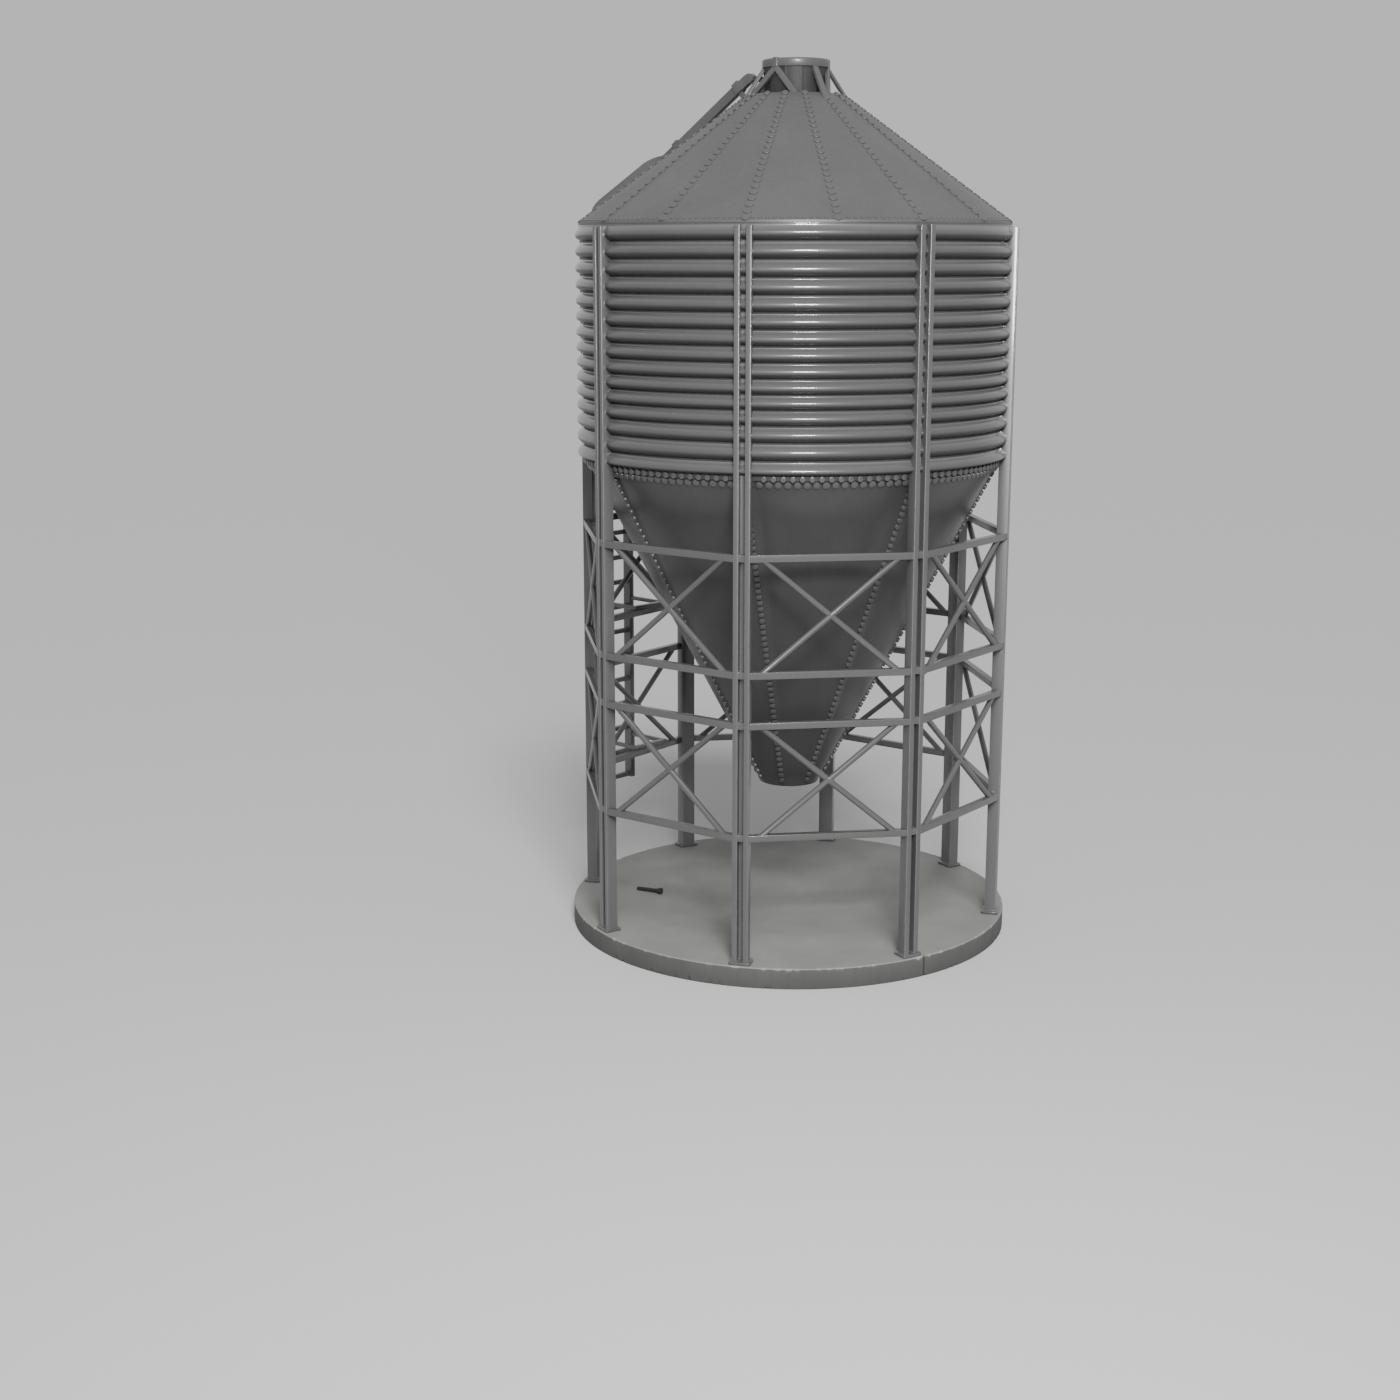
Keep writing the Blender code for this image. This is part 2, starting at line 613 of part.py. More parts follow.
def make_ladder(material):
    outer = LADDER_RADIUS + STRINGER_DEPTH / 2
    inner = LADDER_RADIUS - STRINGER_DEPTH / 2
    outline = [(outer, LADDER_BOTTOM), (outer, LADDER_TOP), (inner, LADDER_TOP), (inner, LADDER_BOTTOM)]
    parts = stringer_pair(outline)
    for rung in range(RUNG_COUNT):
        parts.append(rung_mesh(LADDER_RADIUS, RUNG_FIRST + rung * RUNG_PITCH))
    add_object("side_ladder", fused_mesh("side_ladder", parts), material, LADDER_AZIMUTH)

    parts = stringer_pair(strip_outline(arch_path(), RAIL_DEPTH, (-1, 0), (0, -1)))
    slope = (ARCH_SHOULDER[1] - ARCH_KNEE[1]) / (ARCH_KNEE[0] - ARCH_SHOULDER[0])
    for radius in ARCH_RUNG_RADII:
        parts.append(rung_mesh(radius, ARCH_KNEE[1] + (ARCH_KNEE[0] - radius) * slope - RUNG_DROP))
    add_object("eave_arch", fused_mesh("eave_arch", parts), material, LADDER_AZIMUTH)

    parts = stringer_pair(strip_outline(roof_ladder_path(), RAIL_DEPTH, (0, -1), (0, -1), HEAD_NOSE))
    for radius in ROOF_RUNG_RADII:
        parts.append(rung_mesh(radius, rail_height(radius) - RUNG_DROP))
    parts.append(rung_mesh(*HEAD_RUNG))
    for radius in COLLAR_RADII:
        for side in (-1, 1):
            parts += collar_and_post(radius, side * LADDER_HALF_WIDTH)
    add_object("roof_ladder", fused_mesh("roof_ladder", parts), material, LADDER_AZIMUTH)


def make_brackets(material):
    """Flat forks that lie on a ring beam and hold the ladder's stringers."""
    reach = LADDER_RADIUS - STRINGER_DEPTH / 2 - SEAT
    back = BRACKET_BACK
    front = BRACKET_BACK + BRACKET_BAR
    half = BRACKET_SIZE / 2
    for name, beam in (("ladder_bracket_upper", RING_HEIGHTS[1]), ("ladder_bracket_lower", RING_HEIGHTS[3])):
        base = beam + BEAM_SIZE / 2 + SEAT
        top = base + BRACKET_SIZE
        inner = LADDER_HALF_WIDTH - half
        outer = LADDER_HALF_WIDTH + half
        plan = [(back, -outer), (back, outer), (reach, outer), (reach, inner),
                (front, inner), (front, -inner), (reach, -inner), (reach, -outer)]
        outline = [in_plane(radius, side, base) for radius, side in plan]
        mesh = prism_mesh(name, outline, Vector((0, 0, top - base)))
        add_object(name, mesh, material, LADDER_AZIMUTH)


def main():
    clear_scene()
    concrete = make_material("concrete", (0.42, 0.42, 0.41), 0.0, 0.85)
    wall_steel = make_material("galvanised_sheet", (0.50, 0.51, 0.52), 0.8, 0.38)
    frame_steel = make_material("galvanised_frame", (0.47, 0.48, 0.49), 0.6, 0.50)
    make_slab(concrete)
    make_legs(frame_steel)
    make_frames(frame_steel)
    make_wall(wall_steel)
    make_eave(wall_steel)
    make_roof(wall_steel)
    make_neck(wall_steel)
    make_cap(frame_steel)
    make_hopper(wall_steel)
    make_ladder(frame_steel)
    make_brackets(frame_steel)


main()
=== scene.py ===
# %% [markdown]
# # A grain silo on a steel frame
#
# The imported model holds the silo's main solids: slab, legs, ring frames, corrugated wall, hopper,
# conical roof and ladders. This script gives them finer forms and finishes. It loads the solids as a
# fixed frame first, because every new piece is measured from them.

import math

import bmesh
import bpy
import numpy as np
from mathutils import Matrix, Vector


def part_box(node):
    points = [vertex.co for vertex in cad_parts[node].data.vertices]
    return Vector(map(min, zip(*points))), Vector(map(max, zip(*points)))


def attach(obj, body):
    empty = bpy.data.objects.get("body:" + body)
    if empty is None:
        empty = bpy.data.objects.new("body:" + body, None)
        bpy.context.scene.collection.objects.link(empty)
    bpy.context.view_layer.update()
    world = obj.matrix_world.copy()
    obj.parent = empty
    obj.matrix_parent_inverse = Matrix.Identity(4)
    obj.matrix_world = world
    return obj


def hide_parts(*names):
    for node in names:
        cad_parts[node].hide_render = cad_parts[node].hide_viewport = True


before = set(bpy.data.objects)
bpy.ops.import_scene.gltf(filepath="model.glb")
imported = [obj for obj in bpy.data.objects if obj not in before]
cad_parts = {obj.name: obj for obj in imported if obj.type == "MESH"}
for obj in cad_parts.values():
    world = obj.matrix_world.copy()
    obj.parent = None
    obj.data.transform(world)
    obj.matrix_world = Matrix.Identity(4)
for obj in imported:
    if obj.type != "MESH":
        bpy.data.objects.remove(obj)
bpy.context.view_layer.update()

# %% [markdown]
# ## Measures
#
# A silo is round, so nearly every place on it is a distance from the axis, an azimuth and a height.
# The outer sizes are read from the solids' boxes. The inner sizes that a box can't give, such as the
# depth of a corrugation, are named here once.

# %% Read the sizes
BAYS = 8
BAY = 360 / BAYS


def extent(box):
    """Lowest height, greatest height and greatest x of a box."""
    return box[0].z, box[1].z, box[1].x


_, SLAB_TOP, SLAB_RADIUS = extent(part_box("foundation_slab"))
WALL_BOTTOM, WALL_TOP, _ = extent(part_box("wall_panel_1"))
EAVE_LOW, EAVE_HIGH, _ = extent(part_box("eave_ring"))
ROOF_LOW, ROOF_RIM_TOP, ROOF_EDGE = extent(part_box("roof_cone"))
NECK_LOW, NECK_HIGH, NECK_RADIUS = extent(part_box("roof_neck"))
HOPPER_LOW, HOPPER_HIGH, HOPPER_TOP_RADIUS = extent(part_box("hopper_cone"))
RING_LOW, RING_HIGH, RING_RADIUS = extent(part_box("hopper_ring"))
SEAT = 0.0003  # gap that the solids keep to each other
LEG_WIDTH = 0.171  # across a leg, outside to outside
GROOVE_HALF = 0.0315  # half the open groove between the flanges
GROOVE_FLOOR = 2.283  # distances from the axis: the groove's floor, the wall's inner face,
WALL_INNER = 2.215  # its valleys and its crests
WALL_VALLEY = 2.248
WALL_CREST = 2.326
ROOF_SLOPE = math.radians(36.0)
ROOF_EDGE_TOP = 7.690  # where the roof's upright edge turns into the slope
ROOF_RIM = 0.505  # where the slope ends at a flat ring round the neck
ROOF_THICKNESS = 0.040
NECK_WALL = 0.030
HOPPER_OUTLET = 0.323
HOPPER_THICKNESS = 0.040
print("wall from", round(WALL_BOTTOM, 3), "to", round(WALL_TOP, 3))

# %% [markdown]
# ## From formulas to meshes
#
# Sheet metal is rolled, so its shape is a formula: a place on the sheet gives a place in space. Each
# new piece is a grid of points worked out with whole arrays and joined by quads, and the sign of the
# volume that its faces enclose turns it the right way out. Sculpting by hand could not be measured.

# %% Place points round the axis
UPWARD = np.array([0.0, 0.0, 1.0])


def around(azimuth, radius, height, side=0.0):
    """Points at a distance from the axis, a height and a sideways offset, turned to an azimuth.

    The azimuth a runs from the front (-Y) toward +X:
    x = radius sin a + side cos a and y = side sin a - radius cos a.
    """
    turn = np.radians(azimuth)
    x = radius * np.sin(turn) + side * np.cos(turn)
    y = side * np.sin(turn) - radius * np.cos(turn)
    return np.stack(np.broadcast_arrays(x, y, height), axis=-1)


# %% Join points by faces
def quads(rows, columns, wrap_rows=False, wrap_columns=False):
    """Corner numbers of the quads of a grid whose point (i, j) has the number i * columns + j.

    Each quad joins (i, j), (i, j + 1), (i + 1, j + 1) and (i + 1, j). A wrapped side goes on from
    its last row or column to the first.
    """
    i = np.arange(rows if wrap_rows else rows - 1)[:, None]
    j = np.arange(columns if wrap_columns else columns - 1)[None, :]
    below, beside = (i + 1) % rows, (j + 1) % columns
    corners = [i * columns + j, i * columns + beside, below * columns + beside, below * columns + j]
    return np.stack(np.broadcast_arrays(*corners), axis=-1).reshape(-1, 4)


def volume(points, faces):
    """Volume inside closed faces: a sixth of the sum of a . (b x c) over their fans of triangles."""
    total = 0.0
    for group in faces:
        a = points[group[:, 0]]
        for k in range(1, group.shape[1] - 1):
            total += np.einsum("ij,ij->", a, np.cross(points[group[:, k]], points[group[:, k + 1]]))
    return total / 6


def solid(points, faces):
    """A closed body as (points, face groups), with its faces turned outward."""
    points = np.asarray(points, float).reshape(-1, 3)
    if volume(points, faces) < 0:
        faces = [group[:, ::-1] for group in faces]
    return points, faces


def ring_faces(rows, columns):
    """Faces of a stack of rings: quads between neighbours and one flat face over each end."""
    ends = np.stack([np.arange(columns)[::-1], (rows - 1) * columns + np.arange(columns)])
    return [quads(rows, columns, wrap_columns=True), ends]


def stack(rings):
    """Body of a stack of rings of points."""
    return solid(rings, ring_faces(*rings.shape[:2]))


def joined(solids):
    """Several bodies as one: the corner numbers of each go up by the points before it."""
    start, groups = 0, []
    for points, faces in solids:
        groups += [group + start for group in faces]
        start += len(points)
    return np.concatenate([points for points, _ in solids]), groups


# %% Make a Blender piece
def new_object(name, data):
    """Blender object of a mesh, camera or light, linked to the scene."""
    made = bpy.data.objects.new(name, data)
    bpy.context.scene.collection.objects.link(made)
    return made


def place_piece(name, mesh, replaced):
    """Object of a mesh that rides on the fixed frame and stands for the replaced solids."""
    piece = new_object(name, mesh)
    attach(piece, "root")
    if replaced:
        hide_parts(*replaced)
    return piece


def make_piece(name, body, replaced=(), smooth_angle=40, marks=None):
    """Piece of a body; marks is a dict of one number per point, which the finishes can read."""
    points, faces = body
    mesh = bpy.data.meshes.new(name)
    corners = np.concatenate([group.ravel() for group in faces]).astype(np.int32)
    sizes = np.concatenate([np.full(len(group), group.shape[1]) for group in faces])
    mesh.vertices.add(len(points))
    mesh.vertices.foreach_set("co", points.astype(np.float32).ravel())
    mesh.loops.add(len(corners))
    mesh.loops.foreach_set("vertex_index", corners)
    mesh.polygons.add(len(sizes))
    mesh.polygons.foreach_set("loop_start", (np.cumsum(sizes) - sizes).astype(np.int32))
    mesh.polygons.foreach_set("use_smooth", np.ones(len(sizes), bool))
    mesh.update(calc_edges=True)
    mesh.set_sharp_from_angle(angle=math.radians(smooth_angle))
    for mark, values in (marks or {}).items():
        mesh.attributes.new(mark, "FLOAT", "POINT").data.foreach_set("value", values.astype(np.float32))
    return place_piece(name, mesh, replaced)


# %% [markdown]
# ## Corrugated wall
#
# The barrel is of rolled corrugated sheet. Each wave has a sharp valley, a small
# shoulder, a round crest and an undercut back to the next valley. The pitch is shortest in the wall's
# lower third. The waves could be a bump map, but they shape the barrel's outline and its shadows, so
# they are real. Sines give the round forms, and a short average rounds the folds as a roller does.

# %% Section of the corrugated sheet
PITCHES = np.interp(np.arange(14), [0, 10, 13], [0.1745, 0.1475, 0.183])  # crest to crest, from the top
FIRST_CREST = 0.072  # down from the wall's top
VALLEY_SHARE = 0.45  # share of a pitch from a crest down to the next valley
CRESTS = FIRST_CREST + np.concatenate([[0.0], np.cumsum(PITCHES)])
VALLEYS = np.concatenate([[0.0], CRESTS[:-1] + VALLEY_SHARE * PITCHES])
WALL_HEIGHT = WALL_TOP - WALL_BOTTOM
wave_ends = np.append(VALLEYS[1:], WALL_HEIGHT)
EAVE_RADIUS = 2.288  # the first wave swells from just under the roof's edge
SHOULDER = 0.34  # height of the shoulder as a share of the wave's height
SHOULDER_END = 0.13  # share of the way up at which the shoulder is reached
SWELL_START = 0.24  # share of the way up from which the wave swells to its crest
FALL_POWER = 1.7  # keeps the wave full below its crest


def wave_place(depth):
    """Wave number, share of the way from valley to crest, and share from crest to the next valley."""
    number = np.clip(np.searchsorted(VALLEYS, depth, side="right") - 1, 0, len(VALLEYS) - 1)
    up = np.clip((depth - VALLEYS[number]) / (CRESTS[number] - VALLEYS[number]), 0, 1)
    down = np.clip((depth - CRESTS[number]) / (wave_ends[number] - CRESTS[number]), 0, 1)
    return number, up, down


def sharp_wave(depth):
    """Distance of the sheet's face from the axis before its folds are rounded.

    Up to the crest the height is the shoulder's ramp plus a quarter sine, and past it the cosine of a
    quarter turn times the share to the fall's power. The first wave rises as half a cosine instead.
    """
    number, up, down = wave_place(depth)
    ramp = SHOULDER * np.clip(up / SHOULDER_END, 0, 1)
    swell = (1 - SHOULDER) * np.sin(math.pi / 2 * np.clip((up - SWELL_START) / (1 - SWELL_START), 0, 1))
    fall = np.cos(math.pi / 2 * down ** FALL_POWER)
    first = EAVE_RADIUS + (WALL_CREST - EAVE_RADIUS) * (0.5 - 0.5 * np.cos(math.pi * up))
    later = WALL_VALLEY + (WALL_CREST - WALL_VALLEY) * np.where(down > 0, fall, ramp + swell)
    return np.where((number == 0) & (down == 0), first, later)


def wave_radius(depth, rounding=0.0026):
    """Distance of the sheet's face from the axis: the mean over a short window with a bell's weight."""
    window = np.linspace(-2, 2, 9)
    weight = np.exp(-window ** 2)
    near = np.clip(depth[:, None] + rounding * window, 0.0, WALL_HEIGHT)
    return (sharp_wave(near) * weight).sum(axis=1) / weight.sum()


ROWS_PER_WAVE = np.array([0.0, 0.03, 0.06, 0.09, 0.13, 0.2, 0.28, 0.36, 0.44, 0.52, 0.6, 0.67, 0.74, 0.8,
                          0.86, 0.91, 0.95, 0.98])
row_depths = (VALLEYS[:, None] + (wave_ends - VALLEYS)[:, None] * ROWS_PER_WAVE).ravel()
row_depths = np.append(row_depths, WALL_HEIGHT)
row_radii = wave_radius(row_depths)
above_crest, below_crest = wave_place(row_depths)[1:]
below_crest[-1] = 1.0
# Painted light: this share, 1 at each valley and 0 at the crest, lightens the wave's shoulder in the
# finish.
painted_shoulder_light = np.where(below_crest > 0, 0.0, 1 - above_crest)
print("waves:", len(VALLEYS), "rows:", len(row_depths))

# %% [markdown]
# ## Wall sheets between the legs
#
# Each sheet fills one bay and stops at the flat sides of two legs, so it covers a smaller angle
# where its radius is smaller. An inner face on the barrel's inner radius closes it.

# %% Build the eight wall sheets
def wall_sheet(bay, columns):
    """Closed sheet of one bay: the azimuth goes from side to side, the radius follows the wave.

    The reach to each side is half a bay less the arcsine of the leg's half width over the radius.
    """
    share = np.linspace(-1, 1, columns)
    offset = LEG_WIDTH / 2 + SEAT
    faces = []
    for radii in (row_radii, np.full_like(row_radii, WALL_INNER)):
        reach = BAY / 2 - np.degrees(np.arcsin(offset / radii))
        faces.append(around((bay + 0.5) * BAY + reach[:, None] * share, radii[:, None],
                            (WALL_TOP - row_depths)[:, None]))
    rows, count = len(row_depths), len(row_depths) * columns
    edge = np.concatenate([np.arange(columns), np.arange(1, rows) * columns + columns - 1,
                           (rows - 1) * columns + np.arange(columns - 1)[::-1],
                           np.arange(1, rows - 1)[::-1] * columns])
    following = np.roll(edge, -1)
    side = np.stack([edge + count, following + count, following, edge], axis=1)
    outer = quads(rows, columns)
    points = np.concatenate([face.reshape(-1, 3) for face in faces])
    return solid(points, [outer, outer[:, ::-1] + count, side])


SHEET_COLUMNS = 22
hidden_face = np.zeros(len(row_depths) * SHEET_COLUMNS)
# The undercut mark carries painted shade under each crest, the shoulder mark painted light above each
# valley.
sheet_marks = {"undercut": np.concatenate([np.repeat(below_crest, SHEET_COLUMNS), hidden_face]),
               "painted_shoulder_light": np.concatenate([np.repeat(painted_shoulder_light, SHEET_COLUMNS), hidden_face])}
sheet_pieces = [make_piece(f"wall_sheet_{bay + 1}", wall_sheet(bay, SHEET_COLUMNS),
                           [f"wall_panel_{bay + 1}"], marks=sheet_marks) for bay in range(BAYS)]
print("wall sheets:", len(sheet_pieces), "faces each:", len(sheet_pieces[0].data.polygons))

# %% [markdown]
# ## Waves in the legs' grooves
#
# The legs are channels that open outward, and the sheet's waves fill the groove between the flanges.
# A narrow strip in each groove has the same waves, and is flat where they lie behind the floor.

# %% Build the groove strips
GROOVE_SHARE = np.linspace(-1, 1, 5)
STRIP_RISE = 0.001  # least height of a strip's face over the groove's floor


def groove_strip(bay):
    """Strip of a groove: sideways offset times height, with the larger of wave radius and floor."""
    half = GROOVE_HALF - SEAT
    front = np.maximum(row_radii, GROOVE_FLOOR + STRIP_RISE)[:, None]
    heights = (WALL_TOP - row_depths)[:, None]
    across = half * GROOVE_SHARE
    back = np.full_like(front, GROOVE_FLOOR + SEAT)
    faces = [around(bay * BAY, front, heights, across), around(bay * BAY, back, heights, across[::-1])]
    return stack(np.concatenate(faces, axis=1))


groove_body = joined([groove_strip(bay) for bay in range(BAYS)])
strip_columns = 2 * len(GROOVE_SHARE)
groove_marks = {"undercut": np.tile(np.repeat(below_crest, strip_columns), BAYS),
                "painted_shoulder_light": np.tile(np.repeat(painted_shoulder_light, strip_columns), BAYS)}
groove_waves = make_piece("groove_waves", groove_body, marks=groove_marks)
print("groove strips, faces:", len(groove_waves.data.polygons))

# %% [markdown]
# ## Lapped sheets of the roof and the hopper
#
# The roof has sixteen wedge-shaped sheets and the hopper eight. Neighbours overlap along a seam with
# a row of bolts. Plain cones would look lifeless, so each seam stands out by 1 to 3 mm, over a strip
# of constant width.

# %% A turned shell with lapped seams
LAP_RAISE = 0.003
LAP_EDGE = 0.004  # width of the step at each side of a lap


def seam_columns(radii, seams, half_lap, between):
    """Azimuths and lap shares of a seamed shell's columns, as arrays of rows times columns.

    At each seam four columns lie at the offsets -h, the step's width less h, h less that width, and h,
    turned into degrees by the row's radius; the others share the arc up to the next seam equally.
    """
    offsets = np.array([-half_lap, LAP_EDGE - half_lap, half_lap - LAP_EDGE, half_lap])
    spacing = 360 / len(seams)
    shares = np.arange(1, between + 1) / (between + 1)
    lap = np.degrees(offsets / radii[:, None])
    rest = lap[:, -1:] + (spacing - 2 * lap[:, -1:]) * shares
    one = np.concatenate([lap, rest], axis=1)
    raised = np.tile([0.0, 1.0, 1.0, 0.0] + [0.0] * between, (len(radii), len(seams)))
    azimuths = (np.asarray(seams)[None, :, None] + one[:, None, :]).reshape(len(radii), -1)
    return azimuths, raised


def lapped_piece(name, node, profile, seams, half_lap, between, lapped=(0, 0), raise_by=LAP_RAISE):
    """Shell for a node, turned from a closed profile of (radius, height) points with its body on the left.

    The profile's points from the first number of lapped up to the second, which isn't counted, move
    along the profile's outward normal by the raise wherever their column lies on a lap.
    """
    profile = np.asarray(profile, float)
    run = np.roll(profile, -1, axis=0) - np.roll(profile, 1, axis=0)
    run /= np.linalg.norm(run, axis=1)[:, None]
    normal = np.stack([run[:, 1], -run[:, 0]], axis=1)
    azimuths, raised = seam_columns(profile[:, 0], seams, half_lap, between)
    lift = np.zeros_like(raised)
    lift[slice(*lapped)] = raised[slice(*lapped)] * raise_by
    points = around(azimuths, profile[:, :1] + lift * normal[:, :1],
                    profile[:, 1:] + lift * normal[:, 1:])
    faces = [quads(*azimuths.shape, wrap_rows=True, wrap_columns=True)]
    return make_piece(name, solid(points, faces), [node])


# %% Build the roof
ROOF_SHEETS = 16
ROOF_SEAMS = np.arange(ROOF_SHEETS) * 360 / ROOF_SHEETS
ROOF_HALF_LAP, ROOF_RAISE = 0.060, 0.001
ROOF_COLUMNS = 8  # between two seams


def roof_height(radius):
    """Height of the roof's outer face: the edge's height plus the run inward times the slope."""
    return ROOF_EDGE_TOP + (ROOF_EDGE - radius) * math.tan(ROOF_SLOPE)


def roof_normal(azimuth):
    """Outward normal of the roof's slope: the slope's sine outward and its cosine upward."""
    return around(azimuth, math.sin(ROOF_SLOPE), math.cos(ROOF_SLOPE))


drop = ROOF_THICKNESS / math.cos(ROOF_SLOPE)
under_rim = ROOF_RIM_TOP - ROOF_THICKNESS
inner_rim = ROOF_EDGE - (under_rim + drop - ROOF_EDGE_TOP) / math.tan(ROOF_SLOPE)
inner_foot = ROOF_EDGE - (ROOF_LOW + drop - ROOF_EDGE_TOP) / math.tan(ROOF_SLOPE)
hole = NECK_RADIUS - NECK_WALL
slope_start, slope_end = 2.281, ROOF_RIM + 0.006
slope_points = np.linspace((slope_start, roof_height(slope_start)), (slope_end, roof_height(slope_end)), 12)
# The corners at the edge and the rim are rounded by a few millimetres.
edge_points = [(ROOF_EDGE - 0.004, ROOF_LOW), (ROOF_EDGE, ROOF_LOW + 0.003),
               (ROOF_EDGE, ROOF_EDGE_TOP - 0.006), (2.2885, ROOF_EDGE_TOP - 0.0005),
               (2.285, roof_height(2.2865))]
inside_points = [(ROOF_RIM - 0.006, ROOF_RIM_TOP - 0.0005), (ROOF_RIM - 0.02, ROOF_RIM_TOP),
                 (hole, ROOF_RIM_TOP), (hole, under_rim), (inner_rim, under_rim), (inner_foot, ROOF_LOW)]
roof_profile = np.concatenate([edge_points, slope_points, inside_points])
roof_sheets = lapped_piece("roof_sheets", "roof_cone", roof_profile, ROOF_SEAMS, ROOF_HALF_LAP,
                           ROOF_COLUMNS, (5, 16), ROOF_RAISE)
print("roof faces:", len(roof_sheets.data.polygons))

# %% Build the hopper
HOPPER_SEAMS = np.arange(BAYS) * BAY
HOPPER_HALF_LAP = 0.042
HOPPER_COLUMNS = 14  # between two seams
hopper_run = (HOPPER_HIGH - HOPPER_LOW) / (HOPPER_TOP_RADIUS - HOPPER_OUTLET)
hopper_inset = HOPPER_THICKNESS * math.hypot(1, hopper_run) / hopper_run
lean = math.atan(1 / hopper_run)


def hopper_radius(height):
    """Distance of the hopper's outer face from the axis: the outlet's plus the rise over the slope."""
    return HOPPER_OUTLET + (height - HOPPER_LOW) / hopper_run


def hopper_normal(azimuth):
    """Outward normal of the hopper: the lean's cosine outward and its sine downward."""
    return around(azimuth, math.cos(lean), -math.sin(lean))


cone_low, cone_high = HOPPER_LOW + 0.03, HOPPER_HIGH - 0.004
outer_cone = np.linspace((hopper_radius(cone_low), cone_low), (hopper_radius(cone_high), cone_high), 26)
# The outlet's edge is a bead that stands out by up to 14 mm.
outlet_bead = [(HOPPER_OUTLET - hopper_inset, HOPPER_LOW), (HOPPER_OUTLET + 0.004, HOPPER_LOW),
               (HOPPER_OUTLET + 0.009, HOPPER_LOW + 0.004), (HOPPER_OUTLET + 0.014, HOPPER_LOW + 0.020)]
upper_edge = [(HOPPER_TOP_RADIUS, HOPPER_HIGH), (HOPPER_TOP_RADIUS - hopper_inset, HOPPER_HIGH)]
hopper_profile = np.concatenate([outlet_bead, outer_cone, upper_edge])
hopper_sheets = lapped_piece("hopper_sheets", "hopper_cone", hopper_profile, HOPPER_SEAMS,
                             HOPPER_HALF_LAP, HOPPER_COLUMNS, (5, 29))
print("hopper faces:", len(hopper_sheets.data.polygons))

# %% [markdown]
# ## Eave, neck and joint ring
#
# Three plain rings close the shell: the eave angle under the roof's edge, the neck round the filling
# hole, and the ring between wall and hopper. The neck is a rolled strip with narrow upright laps.

# %% Build the rings
RING_INNER = 2.160
RING_CORNER = 0.003
NECK_SEAMS = -8.0 + np.arange(12) * 30
NECK_HALF_LAP, NECK_RAISE = 0.014, 0.002
NECK_COLUMNS = 6
PLAIN_HALF_LAP = 0.05  # on a ring without laps it only places columns
EAVE_FACE = EAVE_RADIUS + 0.0008
eave_profile = [(WALL_INNER, EAVE_LOW), (EAVE_RADIUS, EAVE_LOW), (EAVE_FACE, EAVE_LOW + 0.003),
                (EAVE_FACE, EAVE_HIGH - 0.002), (EAVE_RADIUS, EAVE_HIGH), (WALL_INNER, EAVE_HIGH)]
eave_band = lapped_piece("eave_band", "eave_ring", eave_profile, ROOF_SEAMS, PLAIN_HALF_LAP, ROOF_COLUMNS)
ring_profile = [(RING_INNER, RING_LOW), (RING_RADIUS - RING_CORNER, RING_LOW),
                (RING_RADIUS, RING_LOW + RING_CORNER), (RING_RADIUS, RING_HIGH - RING_CORNER),
                (RING_RADIUS - RING_CORNER, RING_HIGH), (RING_INNER, RING_HIGH)]
joint_band = lapped_piece("joint_band", "hopper_ring", ring_profile, HOPPER_SEAMS, PLAIN_HALF_LAP,
                          HOPPER_COLUMNS)
neck_profile = [(NECK_RADIUS, NECK_LOW), (NECK_RADIUS, NECK_LOW + 0.010), (NECK_RADIUS, NECK_HIGH - 0.010),
                (NECK_RADIUS, NECK_HIGH), (hole, NECK_HIGH), (hole, NECK_LOW)]
neck_band = lapped_piece("neck_band", "roof_neck", neck_profile, NECK_SEAMS, NECK_HALF_LAP, NECK_COLUMNS,
                         (0, 4), NECK_RAISE)
print("rings:", eave_band.name, joint_band.name, neck_band.name)

# %% [markdown]
# ## Bolt heads
#
# More than a thousand heads hold the sheets together. Finely modelled bolts would cost too much, and
# a bump map would not catch the light at the roof's outline. So a head is a flat button of four rings
# of twelve points, and whole arrays place all heads of a row at once.

# %% Make rows of heads
HEAD_SIDES = 12
HEAD_RINGS = np.array([(1.0, 0.0), (1.0, 0.58), (0.90, 0.92), (0.70, 1.0)])  # shares of radius and rise
HEAD_SINK = 0.001  # of a head's foot into its sheet


def heads(centres, normals, diameters, rises):
    """Flat buttons on a surface, each of rings of points round its normal n, which isn't upright.

    A point of a head is centre + r (cos t u + sin t v) + h n, with u and v square to n.
    """
    centres, normals = np.broadcast_arrays(centres, normals)
    normals = normals / np.linalg.norm(normals, axis=1)[:, None]
    u = np.cross(UPWARD, normals)
    u /= np.linalg.norm(u, axis=1)[:, None]
    v = np.cross(normals, u)
    turn = np.arange(HEAD_SIDES) * 2 * math.pi / HEAD_SIDES
    radius_share, rise_share = HEAD_RINGS.T[:, :, None, None]
    reach = np.broadcast_to(diameters, len(centres))[:, None, None, None] / 2 * radius_share
    rise = np.broadcast_to(rises, len(centres))[:, None, None, None] * rise_share
    circle = np.cos(turn)[:, None] * u[:, None, None, :] + np.sin(turn)[:, None] * v[:, None, None, :]
    points = centres[:, None, None, :] + reach * circle + (rise - HEAD_SINK) * normals[:, None, None, :]
    starts = np.arange(len(centres))[:, None, None] * len(HEAD_RINGS) * HEAD_SIDES
    one_head = ring_faces(len(HEAD_RINGS), HEAD_SIDES)
    return solid(points, [(group + starts).reshape(-1, group.shape[1]) for group in one_head])


